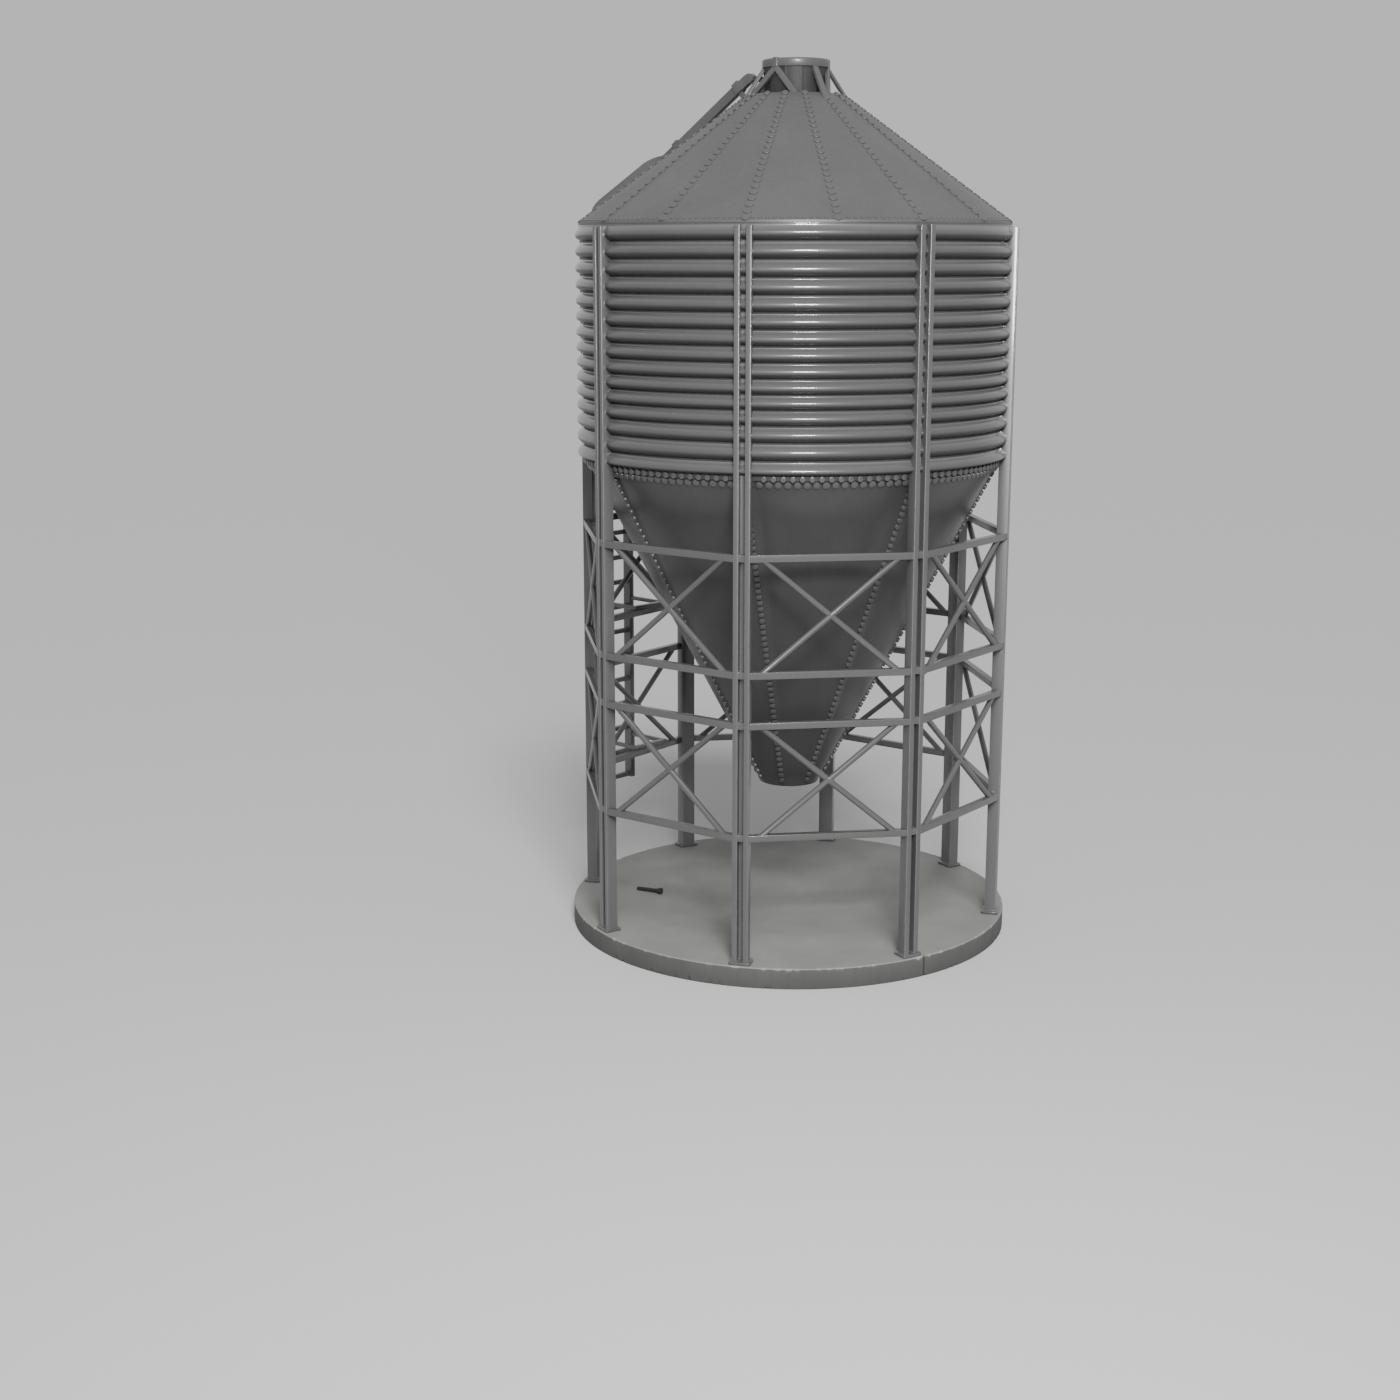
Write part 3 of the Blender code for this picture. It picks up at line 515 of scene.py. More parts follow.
# %% Bolt the roof seams and the eave
SEAM_HEADS, EAVE_HEADS = 24, 202
SEAM_OUTER, SEAM_INNER = 2.262, 0.520  # distances of a seam's first and last head from the axis
SEAM_CROWDING = 0.13  # by which the heads stand closer toward the neck
HEAD_SMALL, HEAD_GROWTH, GROWTH_RUN = 0.072, 0.022, 1.74  # diameter at the neck, and its growth outward
SEAM_RISE = 0.013
EAVE_ROW_RADIUS, EAVE_HEAD = 2.266, (0.038, 0.010)
step = np.arange(SEAM_HEADS) / (SEAM_HEADS - 1)
seam_radii = SEAM_OUTER - (SEAM_OUTER - SEAM_INNER) * (step + SEAM_CROWDING * step * (1 - step))
seam_azimuths = np.repeat(ROOF_SEAMS, SEAM_HEADS)
seam_radii = np.tile(seam_radii, len(ROOF_SEAMS))
slope_normal = roof_normal(seam_azimuths)
seam_places = around(seam_azimuths, seam_radii, roof_height(seam_radii)) + slope_normal * ROOF_RAISE
seam_widths = HEAD_SMALL + HEAD_GROWTH * (seam_radii - SEAM_INNER) / GROWTH_RUN
seam_heads = heads(seam_places, slope_normal, seam_widths, SEAM_RISE)
eave_azimuths = np.arange(EAVE_HEADS) * 360 / EAVE_HEADS
eave_places = around(eave_azimuths, EAVE_ROW_RADIUS, roof_height(EAVE_ROW_RADIUS))
eave_heads = heads(eave_places, roof_normal(eave_azimuths), *EAVE_HEAD)
roof_heads = make_piece("roof_heads", joined([seam_heads, eave_heads]))
print("roof heads:", len(seam_azimuths) + EAVE_HEADS)

# %% Bolt the hopper
RING_HEADS = 148
UPPER_HEIGHT, UPPER_HEAD = 5.213, (0.064, 0.022)  # diameter and rise of a head on the ring,
LOWER_HEIGHT, LOWER_HEAD = 5.160, (0.080, 0.028)  # of one on the hopper's upper edge
CONE_HEAD = (0.062, 0.024)  # and of one on a hopper seam
HEAD_ROOM = 0.033  # half the width that a head needs beside a leg
SEAM_PITCH = 0.077
SEAM_FOOT, SEAM_ENDS = 0.02, 0.10  # height under a seam's heads, and free height at both ends
ring_azimuths = np.arange(RING_HEADS) * 360 / RING_HEADS
# The upper row leaves out the heads that would touch a leg, which is at every whole bay.
from_leg = np.abs((ring_azimuths + BAY / 2) % BAY - BAY / 2)
upper_row = ring_azimuths[from_leg > math.degrees(math.asin((LEG_WIDTH / 2 + HEAD_ROOM) / RING_RADIUS))]
lower_row = ring_azimuths + 180 / RING_HEADS
lower_places = around(lower_row, hopper_radius(LOWER_HEIGHT), LOWER_HEIGHT)
upper_places = around(upper_row, RING_RADIUS, UPPER_HEIGHT)
ring_rows = [heads(upper_places, around(upper_row, 1.0, 0.0), *UPPER_HEAD),
             heads(lower_places, hopper_normal(lower_row), *LOWER_HEAD)]
along = np.arange(1.0, (HOPPER_HIGH - HOPPER_LOW - SEAM_ENDS) / math.cos(lean) / SEAM_PITCH)
heights = HOPPER_LOW + SEAM_FOOT + along * SEAM_PITCH * math.cos(lean)
hopper_azimuths, heights = (grid.ravel() for grid in np.meshgrid(HOPPER_SEAMS, heights))
seam_normal = hopper_normal(hopper_azimuths)
seam_centres = around(hopper_azimuths, hopper_radius(heights), heights) + seam_normal * LAP_RAISE
ring_rows.append(heads(seam_centres, seam_normal, *CONE_HEAD))
hopper_heads = make_piece("hopper_heads", joined(ring_rows))
print("hopper heads:", len(upper_row) + len(lower_row) + len(heights))

# %% [markdown]
# ## Rolled and welded sections
#
# Legs, beams, ladders and brackets have the right shape in the solids, but their sharp edges never
# catch the light. Each is copied, its triangles are merged into flat faces, and its edges are rounded
# by a few millimetres. The rounded faces carry a mark, so that the finish can show bare metal there.

# %% Round the edges of a copy
MERGE_DISTANCE = 1e-5
FLAT_ANGLE, SHARP_ANGLE, SHADE_ANGLE = (math.radians(angle) for angle in (0.6, 40, 50))


def rounded_copy(node, name, width):
    """Copy of a solid with its points merged, coplanar triangles joined and sharp edges rounded."""
    bm = bmesh.new()
    bm.from_mesh(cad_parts[node].data)
    bmesh.ops.remove_doubles(bm, verts=bm.verts, dist=MERGE_DISTANCE)
    bmesh.ops.dissolve_limit(bm, angle_limit=FLAT_ANGLE, verts=bm.verts, edges=bm.edges)
    worn = bm.faces.layers.float.new("worn_edge")
    sharp = [edge for edge in bm.edges if edge.is_manifold and edge.calc_face_angle() > SHARP_ANGLE]
    rounded = bmesh.ops.bevel(bm, geom=sharp, offset=width, offset_type="OFFSET", segments=2, profile=0.6,
                              affect="EDGES", clamp_overlap=True)
    for face in bm.faces:
        face.smooth = True
    for face in rounded["faces"]:
        face[worn] = 1.0
    mesh = bpy.data.meshes.new(name)
    bm.to_mesh(mesh)
    bm.free()
    mesh.set_sharp_from_angle(angle=SHADE_ANGLE)
    return place_piece(name, mesh, [node])


# %% Round the legs, the frames and the ladders
FRAME_ROUNDING, LADDER_ROUNDING = 0.006, 0.005
SECTIONS = {"leg": "leg_channel", "upper_frame": "upper_lattice", "lower_frame": "lower_lattice"}
frame_pieces = [rounded_copy(f"{node}_{n}", f"{name}_{n}", FRAME_ROUNDING)
                for node, name in SECTIONS.items() for n in range(1, BAYS + 1)]
ladder_pieces = [rounded_copy(node, node + "_rounded", LADDER_ROUNDING)
                 for node in ("side_ladder", "eave_arch", "roof_ladder", "ladder_bracket_upper",
                              "ladder_bracket_lower")]
print("rounded copies:", len(frame_pieces) + len(ladder_pieces))

# %% [markdown]
# ## Lid and stays
#
# A shallow round lid covers the neck, and eight flat bars tie it down to the roof's rim and slope. Five
# of them end under three upright plates on the lid's edge. Each bar is one section with rounded
# corners, and its foot is cut along the surface that it stands on.

# %% A flat bar between two points
CORNER_TURNS = np.radians(np.arange(4)[:, None] * 90 + np.array([0.0, 45.0, 90.0]))


def bar(foot, top, outward, width, thickness, seat, corner=0.006):
    """Bar of constant section whose foot lies in the plane through the foot's middle, square to seat.

    Across the run r the section has the axes s = r x outward and f = s x r, and four quarter circles
    as corners. A point at the offset o slides along the run by -(o . seat) / (r . seat) at the foot.
    """
    run = (top - foot) / np.linalg.norm(top - foot)
    side = np.cross(run, outward)
    side /= np.linalg.norm(side)
    front = np.cross(side, run)
    quarter_side, quarter_front = np.array([1, -1, -1, 1]), np.array([1, 1, -1, -1])
    across = quarter_side[:, None] * (width / 2 - corner) + corner * np.cos(CORNER_TURNS)
    through = quarter_front[:, None] * (thickness / 2 - corner) + corner * np.sin(CORNER_TURNS)
    offset = across.reshape(-1, 1) * side + through.reshape(-1, 1) * front
    slide = (offset @ seat / (run @ seat))[:, None] * run
    return stack(np.stack([foot + offset - slide, top + offset]))


# %% Build the lid with its stays
LID_RADIUS = 0.353
LID_LOW, LID_TOP = 9.258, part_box("cap_with_stays")[1].z
LID_ROUND = 0.018
LID_SIDES = 72
STAY_WIDTH, STAY_THICKNESS = 0.064, 0.042
STAY_TOP_RADIUS, STAY_TOP = 0.330, 9.250
STAY_END = 0.030  # of a stay past its top point, into the lid
PLATE_AZIMUTHS = (-26.0, 94.0, 214.0)
PLATE_WIDTH, PLATE_DEPTH, PLATE_PROUD = 0.062, 0.040, 0.004
PLATE_RISE, PLATE_DROP = 0.005, 0.004  # of a plate above the lid's top and below its underside
# A stay's azimuth at the lid, its azimuth at the foot and the foot's distance from the axis
STAYS = [(-26.0, -59.2, 0.455), (-26.0, 10.2, 0.455), (47.7, 44.6, 0.554), (94.0, 59.0, 0.455),
         (94.0, 108.3, 0.513), (167.7, 167.7, 0.535), (214.0, 180.8, 0.455), (287.7, 294.5, 0.510)]


def stay(top_azimuth, foot_azimuth, foot_radius):
    """Flat bar from the roof's rim or slope to the lid, facing the mean of its two azimuths."""
    seat = UPWARD if foot_radius < ROOF_RIM else roof_normal(foot_azimuth)
    foot = around(foot_azimuth, foot_radius, roof_height(max(foot_radius, ROOF_RIM)))
    top = around(top_azimuth, STAY_TOP_RADIUS, STAY_TOP)
    top = top + (top - foot) / np.linalg.norm(top - foot) * STAY_END
    outward = around((top_azimuth + foot_azimuth) / 2, 1.0, 0.0)
    return bar(foot, top, outward, STAY_WIDTH, STAY_THICKNESS, seat)


def plate(azimuth):
    """Upright plate on the lid's edge over the heads of the stays that end there."""
    radius = LID_RADIUS + PLATE_PROUD - PLATE_DEPTH / 2
    heights = (LID_LOW - PLATE_DROP, LID_TOP + PLATE_RISE)
    foot, top = (around(azimuth, radius, height) for height in heights)
    return bar(foot, top, around(azimuth, 1.0, 0.0), PLATE_WIDTH, PLATE_DEPTH, UPWARD)


lid_turn = np.linspace(0, math.pi / 2, 5)
lid_foot = [(LID_RADIUS - 0.010, LID_LOW), (LID_RADIUS - 0.002, LID_LOW), (LID_RADIUS, LID_LOW + 0.003)]
lid_edge = np.stack([LID_RADIUS - LID_ROUND + LID_ROUND * np.cos(lid_turn),
                     LID_TOP - LID_ROUND + LID_ROUND * np.sin(lid_turn)], axis=1)
lid_profile = np.concatenate([lid_foot, lid_edge])
lid_disc = stack(around(np.arange(LID_SIDES) * 360 / LID_SIDES, lid_profile[:, :1], lid_profile[:, 1:]))
lid_bodies = [lid_disc, *(plate(azimuth) for azimuth in PLATE_AZIMUTHS), *(stay(*place) for place in STAYS)]
lid_piece = make_piece("lid_and_stays", joined(lid_bodies), ["cap_with_stays"], smooth_angle=50)
print("lid and stays, faces:", len(lid_piece.data.polygons))

# %% [markdown]
# ## Foundation slab
#
# The round slab is cast concrete. Its upper edge has lost small chips, which show the paler stone, its
# foot has nicks darkened with painted shade, and one upright joint shows where the edge board met
# itself. All are formed in the mesh, because they change the outline. A loose iron rod lies on the slab.

# %% Build the slab
SLAB_COLUMNS = 900
CHIPS, NICKS = 110, 46
JOINT_AZIMUTH, JOINT_WIDTH, JOINT_DEPTH = 48.0, 0.22, 0.010
SLAB_CORNER = 0.012
SIDE_ROWS = 10
CHIP_BAND = 0.03  # depth under the top within which a chip lowers the edge
CHIP_SINK = 0.5  # share of a chip's depth by which it does so
CHIP_PALE = 0.006  # depth from which a chip is fully pale
random = np.random.default_rng(11)
# Ranges of a break's azimuth, width in degrees, depth and reach up or down
CHIP_RANGES = (0, 360), (0.15, 0.60), (0.002, 0.009), (0.008, 0.020)
NICK_RANGES = (0, 360), (0.08, 0.22), (0.006, 0.016), (0.015, 0.055)
chip_draws = [random.uniform(*ends, CHIPS) for ends in CHIP_RANGES]
nick_draws = [random.uniform(*ends, NICKS) for ends in NICK_RANGES]


def broken(azimuths, rise, middle, width, depth, reach):
    """Depth lost to breaks: the sum of depth x exp(-(da / width)^2) x exp(-(rise / reach)^2).

    Here da is the azimuth from a break's middle and rise the distance from the edge that it starts at.
    """
    across = (azimuths[:, None] - middle + 180) % 360 - 180
    fade = np.exp(-(rise[:, None, None] / reach) ** 2)
    return (np.exp(-(across / width) ** 2)[None] * fade * depth).sum(axis=2)


# The slab is its section less chips, nicks and joint, turned round the axis.
bevel = np.radians(np.linspace(0, 90, 4))
inner = SLAB_RADIUS - SLAB_CORNER
edge = np.stack([inner + SLAB_CORNER * np.sin(bevel),
                 SLAB_TOP - SLAB_CORNER + SLAB_CORNER * np.cos(bevel)], axis=1)
side = np.linspace((SLAB_RADIUS, SLAB_TOP - 0.018), (SLAB_RADIUS, 0.004), SIDE_ROWS)
profile = np.concatenate([[(inner - 0.020, SLAB_TOP)], edge, side, [(SLAB_RADIUS - 0.004, 0.0)]])
azimuths = np.arange(SLAB_COLUMNS) * 360 / SLAB_COLUMNS
chips = broken(azimuths, SLAB_TOP - profile[:, 1], *chip_draws)
nicks = broken(azimuths, profile[:, 1], *nick_draws)
on_edge = np.clip((profile[:, 0] - inner + SLAB_CORNER) / (2 * SLAB_CORNER), 0, 1)[:, None]
from_joint = (azimuths - JOINT_AZIMUTH + 180) % 360 - 180
joint = JOINT_DEPTH * np.exp(-(from_joint / JOINT_WIDTH) ** 2)
radii = profile[:, :1] - on_edge * (chips + nicks + joint)
heights = profile[:, 1:] - CHIP_SINK * on_edge * chips * (profile[:, 1:] > SLAB_TOP - CHIP_BAND)
pale = np.clip(on_edge * chips / CHIP_PALE, 0, 1)
# The joint's dark line is its own colour; the nicks' darkness is painted shade.
dark = np.clip(on_edge * (joint + nicks) / JOINT_DEPTH, 0, 1)
slab_grid = around(azimuths[None], radii, heights)
slab_piece = make_piece("slab_cast", stack(slab_grid), ["foundation_slab"], smooth_angle=35,
                        marks={"chipped": pale.ravel(), "joint_dark_and_nick_shade": dark.ravel()})
print("slab faces:", len(slab_piece.data.polygons))

# %% Lay the loose rod on the slab
ROD_ENDS = np.array([(-1.712, -0.248), (-1.397, -0.342)])
ROD_RADIUS, ROD_HEAD_RADIUS = 0.021, 0.039
ROD_SIDES = 12
rod_share = np.array([0.0, 0.02, 0.76, 0.86, 0.95, 1.0])
rod_radius = np.array([0.8 * ROD_RADIUS, ROD_RADIUS, ROD_RADIUS, 0.75 * ROD_HEAD_RADIUS, ROD_HEAD_RADIUS,
                       0.85 * ROD_HEAD_RADIUS])
rod_run = np.append(ROD_ENDS[1] - ROD_ENDS[0], 0.0)
rod_side = np.cross(UPWARD, rod_run) / np.linalg.norm(rod_run)
rod_rise = rod_run + UPWARD * (ROD_HEAD_RADIUS - ROD_RADIUS)
rod_middle = np.append(ROD_ENDS[0], SLAB_TOP + ROD_RADIUS) + rod_share[:, None] * rod_rise
rod_turn = np.arange(ROD_SIDES) * 2 * math.pi / ROD_SIDES
circle = np.cos(rod_turn)[:, None] * rod_side + np.sin(rod_turn)[:, None] * UPWARD
rod_rings = rod_middle[:, None] + rod_radius[:, None, None] * circle
rod_piece = make_piece("loose_rod", stack(rod_rings), smooth_angle=50)
print("rod length:", round(float(np.linalg.norm(rod_run)), 3))

# %% [markdown]
# ## Finishes
#
# The sheets and sections are zinc-coated steel, dull with age: patchy crystals, faint run-off streaks
# and dust. An image texture would be simpler, but would stretch round the cones, so each effect is a
# node group on Object coordinates, built once, which the finishes use with values of their own.

# %% Helpers for node trees
def feed(tree, node, inputs):
    """Give a node's inputs their values, or link them from output sockets."""
    for key, value in inputs.items():
        if isinstance(value, bpy.types.NodeSocket):
            tree.links.new(value, node.inputs[key])
        else:
            node.inputs[key].default_value = value


def add_node(tree, kind, inputs=None, **settings):
    """New node with its settings and inputs."""
    node = tree.nodes.new(kind)
    for key, value in settings.items():
        setattr(node, key, value)
    feed(tree, node, inputs or {})
    return node


def new_group(name, inputs, outputs):
    """Node group of a vector and named numbers, with the sockets that it is given and its last node."""
    group = bpy.data.node_groups.new(name, "ShaderNodeTree")
    group.interface.new_socket(name="Vector", in_out="INPUT", socket_type="NodeSocketVector")
    for direction, labels in (("INPUT", inputs), ("OUTPUT", outputs)):
        for label in labels:
            group.interface.new_socket(name=label, in_out=direction, socket_type="NodeSocketFloat")
    return group, group.nodes.new("NodeGroupInput").outputs, group.nodes.new("NodeGroupOutput")


def math_node(tree, operation, first, second, clamp=False):
    """Output of a Math node over two values or sockets."""
    return add_node(tree, "ShaderNodeMath", {0: first, 1: second}, operation=operation,
                    use_clamp=clamp).outputs[0]


def times(tree, first, second, clamp=False):
    """Output of the product of two values or sockets."""
    return math_node(tree, "MULTIPLY", first, second, clamp)


def noise(tree, place, scale, detail, roughness=0.5):
    """Output of a noise texture."""
    inputs = {"Vector": place, "Scale": scale, "Detail": detail, "Roughness": roughness}
    return add_node(tree, "ShaderNodeTexNoise", inputs).outputs[0]


def remap(tree, value, low, high, top=1.0, **settings):
    """Output of a ramp from 0, where the value is low, to top, where it is high."""
    inputs = {"Value": value, "From Min": low, "From Max": high, "To Max": top}
    return add_node(tree, "ShaderNodeMapRange", inputs, **settings).outputs[0]


def height_of(tree, node, output):
    """Output of the height of a node's vector: for the normal it is 1 on a level top and 0 on a side."""
    vector = add_node(tree, node).outputs[output]
    return add_node(tree, "ShaderNodeSeparateXYZ", {"Vector": vector}).outputs[2]


# %% Group: zinc crystals and patches
CRYSTAL_SHARE = 0.25  # weight of the crystals' tone beside the patches' tone of 1
MEAN_TONE = 0.5 + CRYSTAL_SHARE / 2
GLOSS_SHARE = 0.12
zinc, given, last = new_group("zinc_crystals", ["Crystal Scale", "Strength"], ["Shade", "Gloss", "Height"])
crystals = add_node(zinc, "ShaderNodeTexVoronoi", {"Vector": given[0], "Scale": given["Crystal Scale"]})
crystal_tone = add_node(zinc, "ShaderNodeSeparateColor", {"Color": crystals.outputs["Color"]}).outputs[0]
mixed = math_node(zinc, "ADD", times(zinc, crystal_tone, CRYSTAL_SHARE), noise(zinc, given[0], 1.3, 4.0))
centred = math_node(zinc, "SUBTRACT", mixed, MEAN_TONE)
feed(zinc, last, {"Shade": math_node(zinc, "ADD", times(zinc, centred, given["Strength"]), 1.0),
                  "Gloss": times(zinc, centred, GLOSS_SHARE), "Height": noise(zinc, given[0], 5.0, 2.0)})
print("group:", zinc.name)

# %% Group: run-off streaks and dust
weather, given, last = new_group("run_off", ["Streaks", "Dust"], ["Mask"])
stretched = add_node(weather, "ShaderNodeMapping", {"Vector": given[0], "Scale": (9.0, 9.0, 0.55)})
streak_mask = remap(weather, noise(weather, stretched.outputs[0], 1.0, 5.0, 0.65), 0.48, 0.78)
level_mask = remap(weather, height_of(weather, "ShaderNodeNewGeometry", "Normal"), 0.2, 1.0)
dust_mask = times(weather, level_mask, noise(weather, given[0], 3.1, 7.0))
streaked, dusted = times(weather, streak_mask, given["Streaks"]), times(weather, dust_mask, given["Dust"])
feed(weather, last, {"Mask": math_node(weather, "ADD", streaked, dusted, clamp=True)})
print("group:", weather.name)

# %% Group: worn edges
wear, given, last = new_group("worn_edges", ["Edge", "Amount"], ["Mask"])
rub_mask = remap(wear, noise(wear, given[0], 14.0, 6.0, 0.7), 0.35, 0.62)
rubbed = times(wear, given["Edge"], rub_mask)
feed(wear, last, {"Mask": times(wear, rubbed, given["Amount"], clamp=True)})
print("group:", wear.name)

# %% Steel finishes
CRYSTAL_STRENGTH, DUST = 0.30, 0.10
# The undercut tone is painted shade under each wave's crest; the shoulder tone is painted light above each
# valley.
RUN_OFF_TONE, UNDERCUT_SHADE_TONE = 0.55, 0.16  # levels as shares of the metal's own
SHOULDER_LIGHT_TONE, BARE_TONE = 1.7, 1.9
HOLLOW_END = 0.44  # share of the way down an undercut from which the painted shade is full
COAT_ROUGHNESS = 0.08


def new_material(name):
    """Material with its node tree, its shader and the Object coordinates."""
    material = bpy.data.materials.new(name)
    material.use_nodes = True
    tree = material.node_tree
    place = add_node(tree, "ShaderNodeTexCoord").outputs["Object"]
    return material, tree, tree.nodes["Principled BSDF"], place


def use_group(tree, group, inputs):
    """Outputs of a group placed in a material."""
    return add_node(tree, "ShaderNodeGroup", inputs, node_tree=group).outputs


def mark_of(tree, name):
    """Output with a mark that a piece carries."""
    return add_node(tree, "ShaderNodeAttribute", attribute_name=name).outputs["Fac"]


def blend(tree, factor, first, second, mode="MIX"):
    """Output of a colour Mix node."""
    mix = add_node(tree, "ShaderNodeMix", data_type="RGBA", blend_type=mode)
    feed(tree, mix, {0: factor, 6: first, 7: second})
    return mix.outputs[2]


def grey(level, tint=1.02):
    """Colour of a level of grey that leans a little to blue, as zinc does."""
    return (level, level, level * tint, 1.0)


def steel(name, level, metallic, roughness, crystal_scale=42.0, streaks=0.10, mark=None, mark_amount=0.0,
          coat=0.0):
    """Zinc-coated steel: crystals shade the colour, run-off and the marked hollows or edges change it.

    Each change blends toward the metal's level times a tone: run-off is darker, the undercuts darker with
    painted shade, bare metal brighter and the shoulders brighter with painted light. The coat is a glossy
    skin that the painted shade switches off.
    """
    material, tree, shader, place = new_material(name)
    crystals = use_group(tree, zinc, {"Vector": place, "Crystal Scale": crystal_scale,
                                      "Strength": CRYSTAL_STRENGTH})
    tone = add_node(tree, "ShaderNodeCombineColor", {k: crystals["Shade"] for k in (0, 1, 2)}).outputs[0]
    base = blend(tree, 1.0, grey(level), tone, "MULTIPLY")
    run_off = use_group(tree, weather, {"Vector": place, "Streaks": streaks, "Dust": DUST})["Mask"]
    base = blend(tree, run_off, base, grey(RUN_OFF_TONE * level, 1.0))
    rough = math_node(tree, "ADD", math_node(tree, "SUBTRACT", roughness, crystals["Gloss"]),
                      times(tree, run_off, 0.25), clamp=True)
    if mark == "undercut":
        # Painted shade: below each crest the wave turns near black and loses its coat.
        painted_shade = remap(tree, mark_of(tree, mark), 0.0, HOLLOW_END, mark_amount,
                      interpolation_type="SMOOTHSTEP")
        base = blend(tree, painted_shade, base, grey(UNDERCUT_SHADE_TONE * level, 1.0))
        # Painted light: the shoulder above each valley is lightened.
        base = blend(tree, remap(tree, mark_of(tree, "painted_shoulder_light"), 0.15, 0.85), base, grey(SHOULDER_LIGHT_TONE * level))
        coat = times(tree, math_node(tree, "SUBTRACT", 1.0, painted_shade, clamp=True), coat)
        rough = math_node(tree, "ADD", rough, times(tree, painted_shade, 0.35), clamp=True)
    if mark == "worn_edge":
        worn = {"Vector": place, "Edge": mark_of(tree, mark), "Amount": mark_amount}
        bare = use_group(tree, wear, worn)["Mask"]
        base = blend(tree, bare, base, grey(BARE_TONE * level))
        rough = math_node(tree, "SUBTRACT", rough, times(tree, bare, 0.12), clamp=True)
    bump = add_node(tree, "ShaderNodeBump", {"Height": crystals["Height"], "Strength": 0.10,
                                             "Distance": 0.004})
    feed(tree, shader, {"Base Color": base, "Roughness": rough, "Normal": bump.outputs[0],
                        "Metallic": metallic, "Coat Weight": coat, "Coat Roughness": COAT_ROUGHNESS})
    return material


WALL_ZINC = steel("corrugated_zinc", 0.066, 0.25, 0.38, mark="undercut", mark_amount=0.72, coat=1.0)
ROOF_ZINC = steel("roof_zinc", 0.082, 0.20, 0.42)
LID_ZINC = steel("lid_zinc", 0.080, 0.20, 0.40, coat=0.25)
# The neck takes a much darker level than the lid and roof: painted shade, as it lies under the lid.
NECK_SHADED_ZINC = steel("neck_zinc_painted_shade", 0.026, 0.10, 0.60, streaks=0.25)
# The hopper and its joint ring take a darker level than the other sheets: painted shade, as they lie under
# the barrel.
HOPPER_SHADED_ZINC = steel("hopper_zinc_painted_shade", 0.050, 0.20, 0.36, streaks=0.20)
BOLT_ZINC = steel("bolt_zinc", 0.080, 0.20, 0.36)
FRAME_ZINC = steel("section_zinc", 0.082, 0.25, 0.34, crystal_scale=60.0, streaks=0.14, mark="worn_edge",
                   mark_amount=0.6, coat=0.4)
ROD_IRON = steel("rod_iron", 0.025, 0.20, 0.60, streaks=0.3)
print("steel finishes made")


# %% Concrete finish
def concrete(name, level, side_shade_share):
    """Cast concrete: clouds and grain shade it, pores and grain raise it, the upright side is darker with
    painted shade.

    The side's level is the top's times the side shade share, and less toward the foot. A chip shows pale
    stone and the edge between top and side a painted highlight; the joint is dark and the nicks have
    painted shade.
    """
    material, tree, shader, place = new_material(name)
    grains = noise(tree, place, 60.0, 3.0)
    clouds = remap(tree, noise(tree, place, 1.7, 6.0, 0.55), 0.3, 0.7)
    base = blend(tree, clouds, grey(0.88 * level, 0.98), grey(1.12 * level, 0.98))
    base = blend(tree, times(tree, grains, 0.30), base, grey(0.7 * level, 0.97))
    side_height = remap(tree, height_of(tree, "ShaderNodeTexCoord", "Object"), 0.0, SLAB_TOP)
    side = blend(tree, side_height, grey(0.76 * side_shade_share, 1.0), grey(1.1 * side_shade_share, 1.0))
    run_off = use_group(tree, weather, {"Vector": place, "Streaks": 0.55, "Dust": 0.0})["Mask"]
    side = blend(tree, times(tree, run_off, 0.8), side, grey(0.6 * side_shade_share, 1.0))
    # Painted shade: the upright side takes the darker side colour, since light falls mostly from above.
    upright = remap(tree, height_of(tree, "ShaderNodeNewGeometry", "Normal"), 0.75, 0.25)
    base = blend(tree, upright, base, blend(tree, 1.0, base, side, "MULTIPLY"))
    flat = math_node(tree, "SUBTRACT", 1.0, upright)
    # Painted highlight: a pale line along the rounded edge between top and side.
    edge_highlight = times(tree, times(tree, upright, flat), 2.4, clamp=True)
    # This pale colour serves both the chips' own stone and the painted edge highlight.
    pale = grey(1.5 * level, 0.98)
    base = blend(tree, edge_highlight, base, pale)
    base = blend(tree, times(tree, mark_of(tree, "chipped"), 0.7), base, pale)
    # Dark joint, and painted shade in the nicks at the foot.
    base = blend(tree, mark_of(tree, "joint_dark_and_nick_shade"), base, grey(0.12 * level, 1.0))
    pores = add_node(tree, "ShaderNodeTexVoronoi", {"Vector": place, "Scale": 40.0}).outputs["Distance"]
    raised = math_node(tree, "ADD", times(tree, remap(tree, pores, 0.05, 0.16), 0.5), grains)
    bump = add_node(tree, "ShaderNodeBump", {"Height": raised, "Strength": 0.25, "Distance": 0.004})
    feed(tree, shader, {"Base Color": base, "Normal": bump.outputs[0], "Roughness": 0.85})
    return material


CONCRETE = concrete("cast_concrete", 0.175, 0.42)
print("concrete finish made")

# %% Give every piece its finish
finishes = [(WALL_ZINC, [*sheet_pieces, groove_waves, eave_band]), (ROOF_ZINC, [roof_sheets, roof_heads]),
            (LID_ZINC, [lid_piece, *ladder_pieces[1:3]]), (NECK_SHADED_ZINC, [neck_band]),
            (HOPPER_SHADED_ZINC, [hopper_sheets, joint_band]), (BOLT_ZINC, [hopper_heads]),
            (FRAME_ZINC, [*frame_pieces, ladder_pieces[0], *ladder_pieces[3:]]),
            (CONCRETE, [slab_piece]), (ROD_IRON, [rod_piece])]
for material, pieces in finishes:
    for piece in pieces:
        piece.data.materials.clear()
        piece.data.materials.append(material)

# %% [markdown]
# ## Camera, floor and light
#
# The camera stands a little lower than the wall's top, right of the front leg, and looks slightly down.
# A pale floor, an even sky and a soft sun that leaves no glint show the forms. One broad light in
# front, a little to the right, draws the bright lines on the waves.

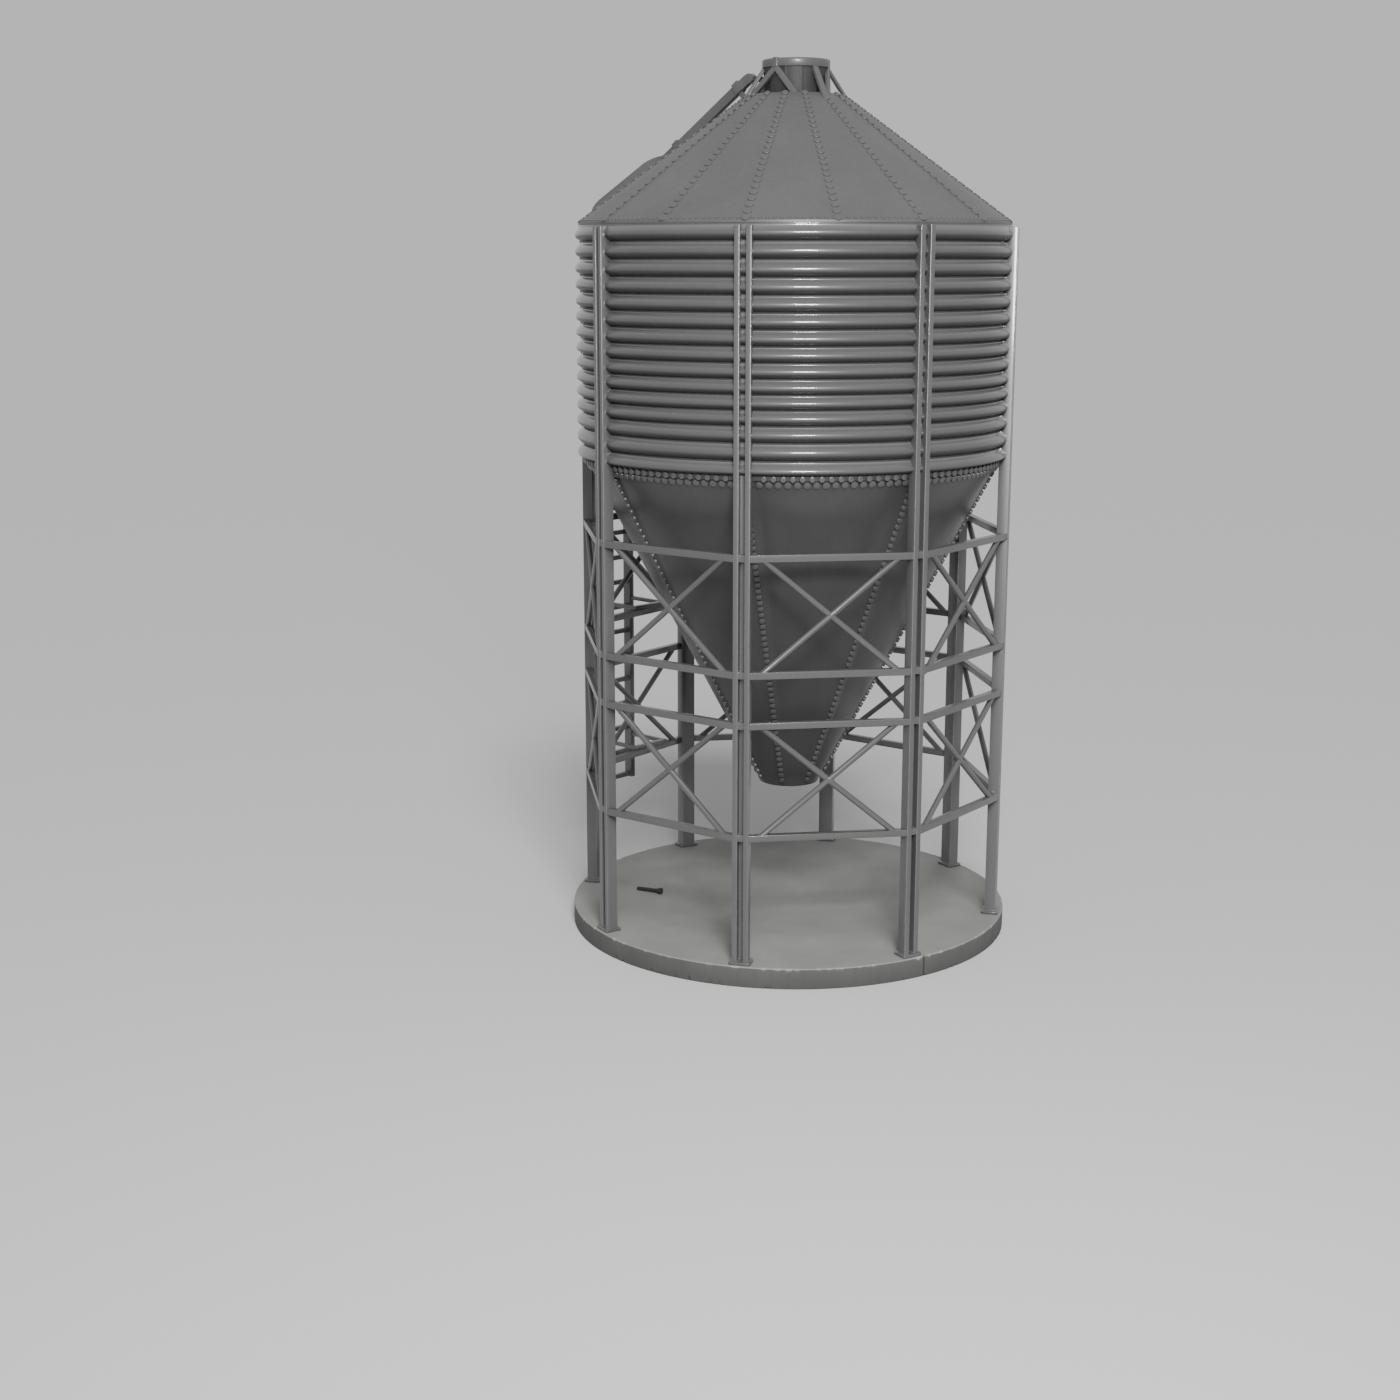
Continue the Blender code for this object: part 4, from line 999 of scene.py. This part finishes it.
# %% Camera
CAMERA_PLACE = (4.4915, -21.351, 7.376)
CAMERA_DOWN, CAMERA_TURN = 0.2200, 0.2532
camera_data = bpy.data.cameras.new("camera")
camera_data.sensor_width = 36.0
camera_data.lens = 51.39
camera_data.clip_end = 400.0
camera = new_object("camera", camera_data)
camera.location = CAMERA_PLACE
camera.rotation_euler = (math.pi / 2 - CAMERA_DOWN, 0.0, CAMERA_TURN)
bpy.context.scene.camera = camera
print("camera from the axis:", round(math.hypot(*CAMERA_PLACE[:2]), 2))

# %% Floor and world
FLOOR_RADIUS, FLOOR_SIDES, FLOOR_DROP = 150, 64, 0.001
FLOOR_LEVEL, SKY_LEVEL = 0.45, 0.64
floor_points = around(np.arange(FLOOR_SIDES) * 360 / FLOOR_SIDES, FLOOR_RADIUS, -FLOOR_DROP)
floor_mesh = bpy.data.meshes.new("floor")
floor_mesh.from_pydata(floor_points.tolist(), [], [list(range(FLOOR_SIDES))])
floor = new_object("floor", floor_mesh)
floor_paint = bpy.data.materials.new("floor_paint")
floor_paint.use_nodes = True
feed(floor_paint.node_tree, floor_paint.node_tree.nodes["Principled BSDF"],
     {"Base Color": grey(FLOOR_LEVEL, 1.0), "Roughness": 1.0, "Specular IOR Level": 0.0})
floor_mesh.materials.append(floor_paint)
world = bpy.data.worlds.new("studio")
world.use_nodes = True
feed(world.node_tree, world.node_tree.nodes["Background"], {"Color": grey(SKY_LEVEL, 1.0), "Strength": 1.0})
bpy.context.scene.world = world
print("floor radius:", FLOOR_RADIUS)

# %% Lights
AIM_HEIGHT = 4.6  # of the place on the axis that both lights face


def aim(light, azimuth, elevation, distance):
    """Put a light at an azimuth and elevation, facing the silo's middle."""
    rise, turn = math.radians(elevation), math.radians(azimuth)
    away = (math.sin(turn) * math.cos(rise), -math.cos(turn) * math.cos(rise), math.sin(rise))
    light.location = [distance * a + m for a, m in zip(away, (0, 0, AIM_HEIGHT))]
    light.rotation_euler = (math.pi / 2 - rise, 0, turn)


sun_data = bpy.data.lights.new("soft_sun", "SUN")
sun_data.energy = 3.2
sun_data.angle = math.radians(20)
soft_sun = new_object("soft_sun", sun_data)
soft_sun.visible_glossy = False
aim(soft_sun, azimuth=22.0, elevation=50.0, distance=30.0)
key_data = bpy.data.lights.new("key", "AREA")
key_data.shape, key_data.size, key_data.size_y = "RECTANGLE", 3.2, 1.8
key_data.energy = 2900.0
aim(new_object("key", key_data), azimuth=17.7, elevation=22.0, distance=18.0)
print("sun and key light placed")
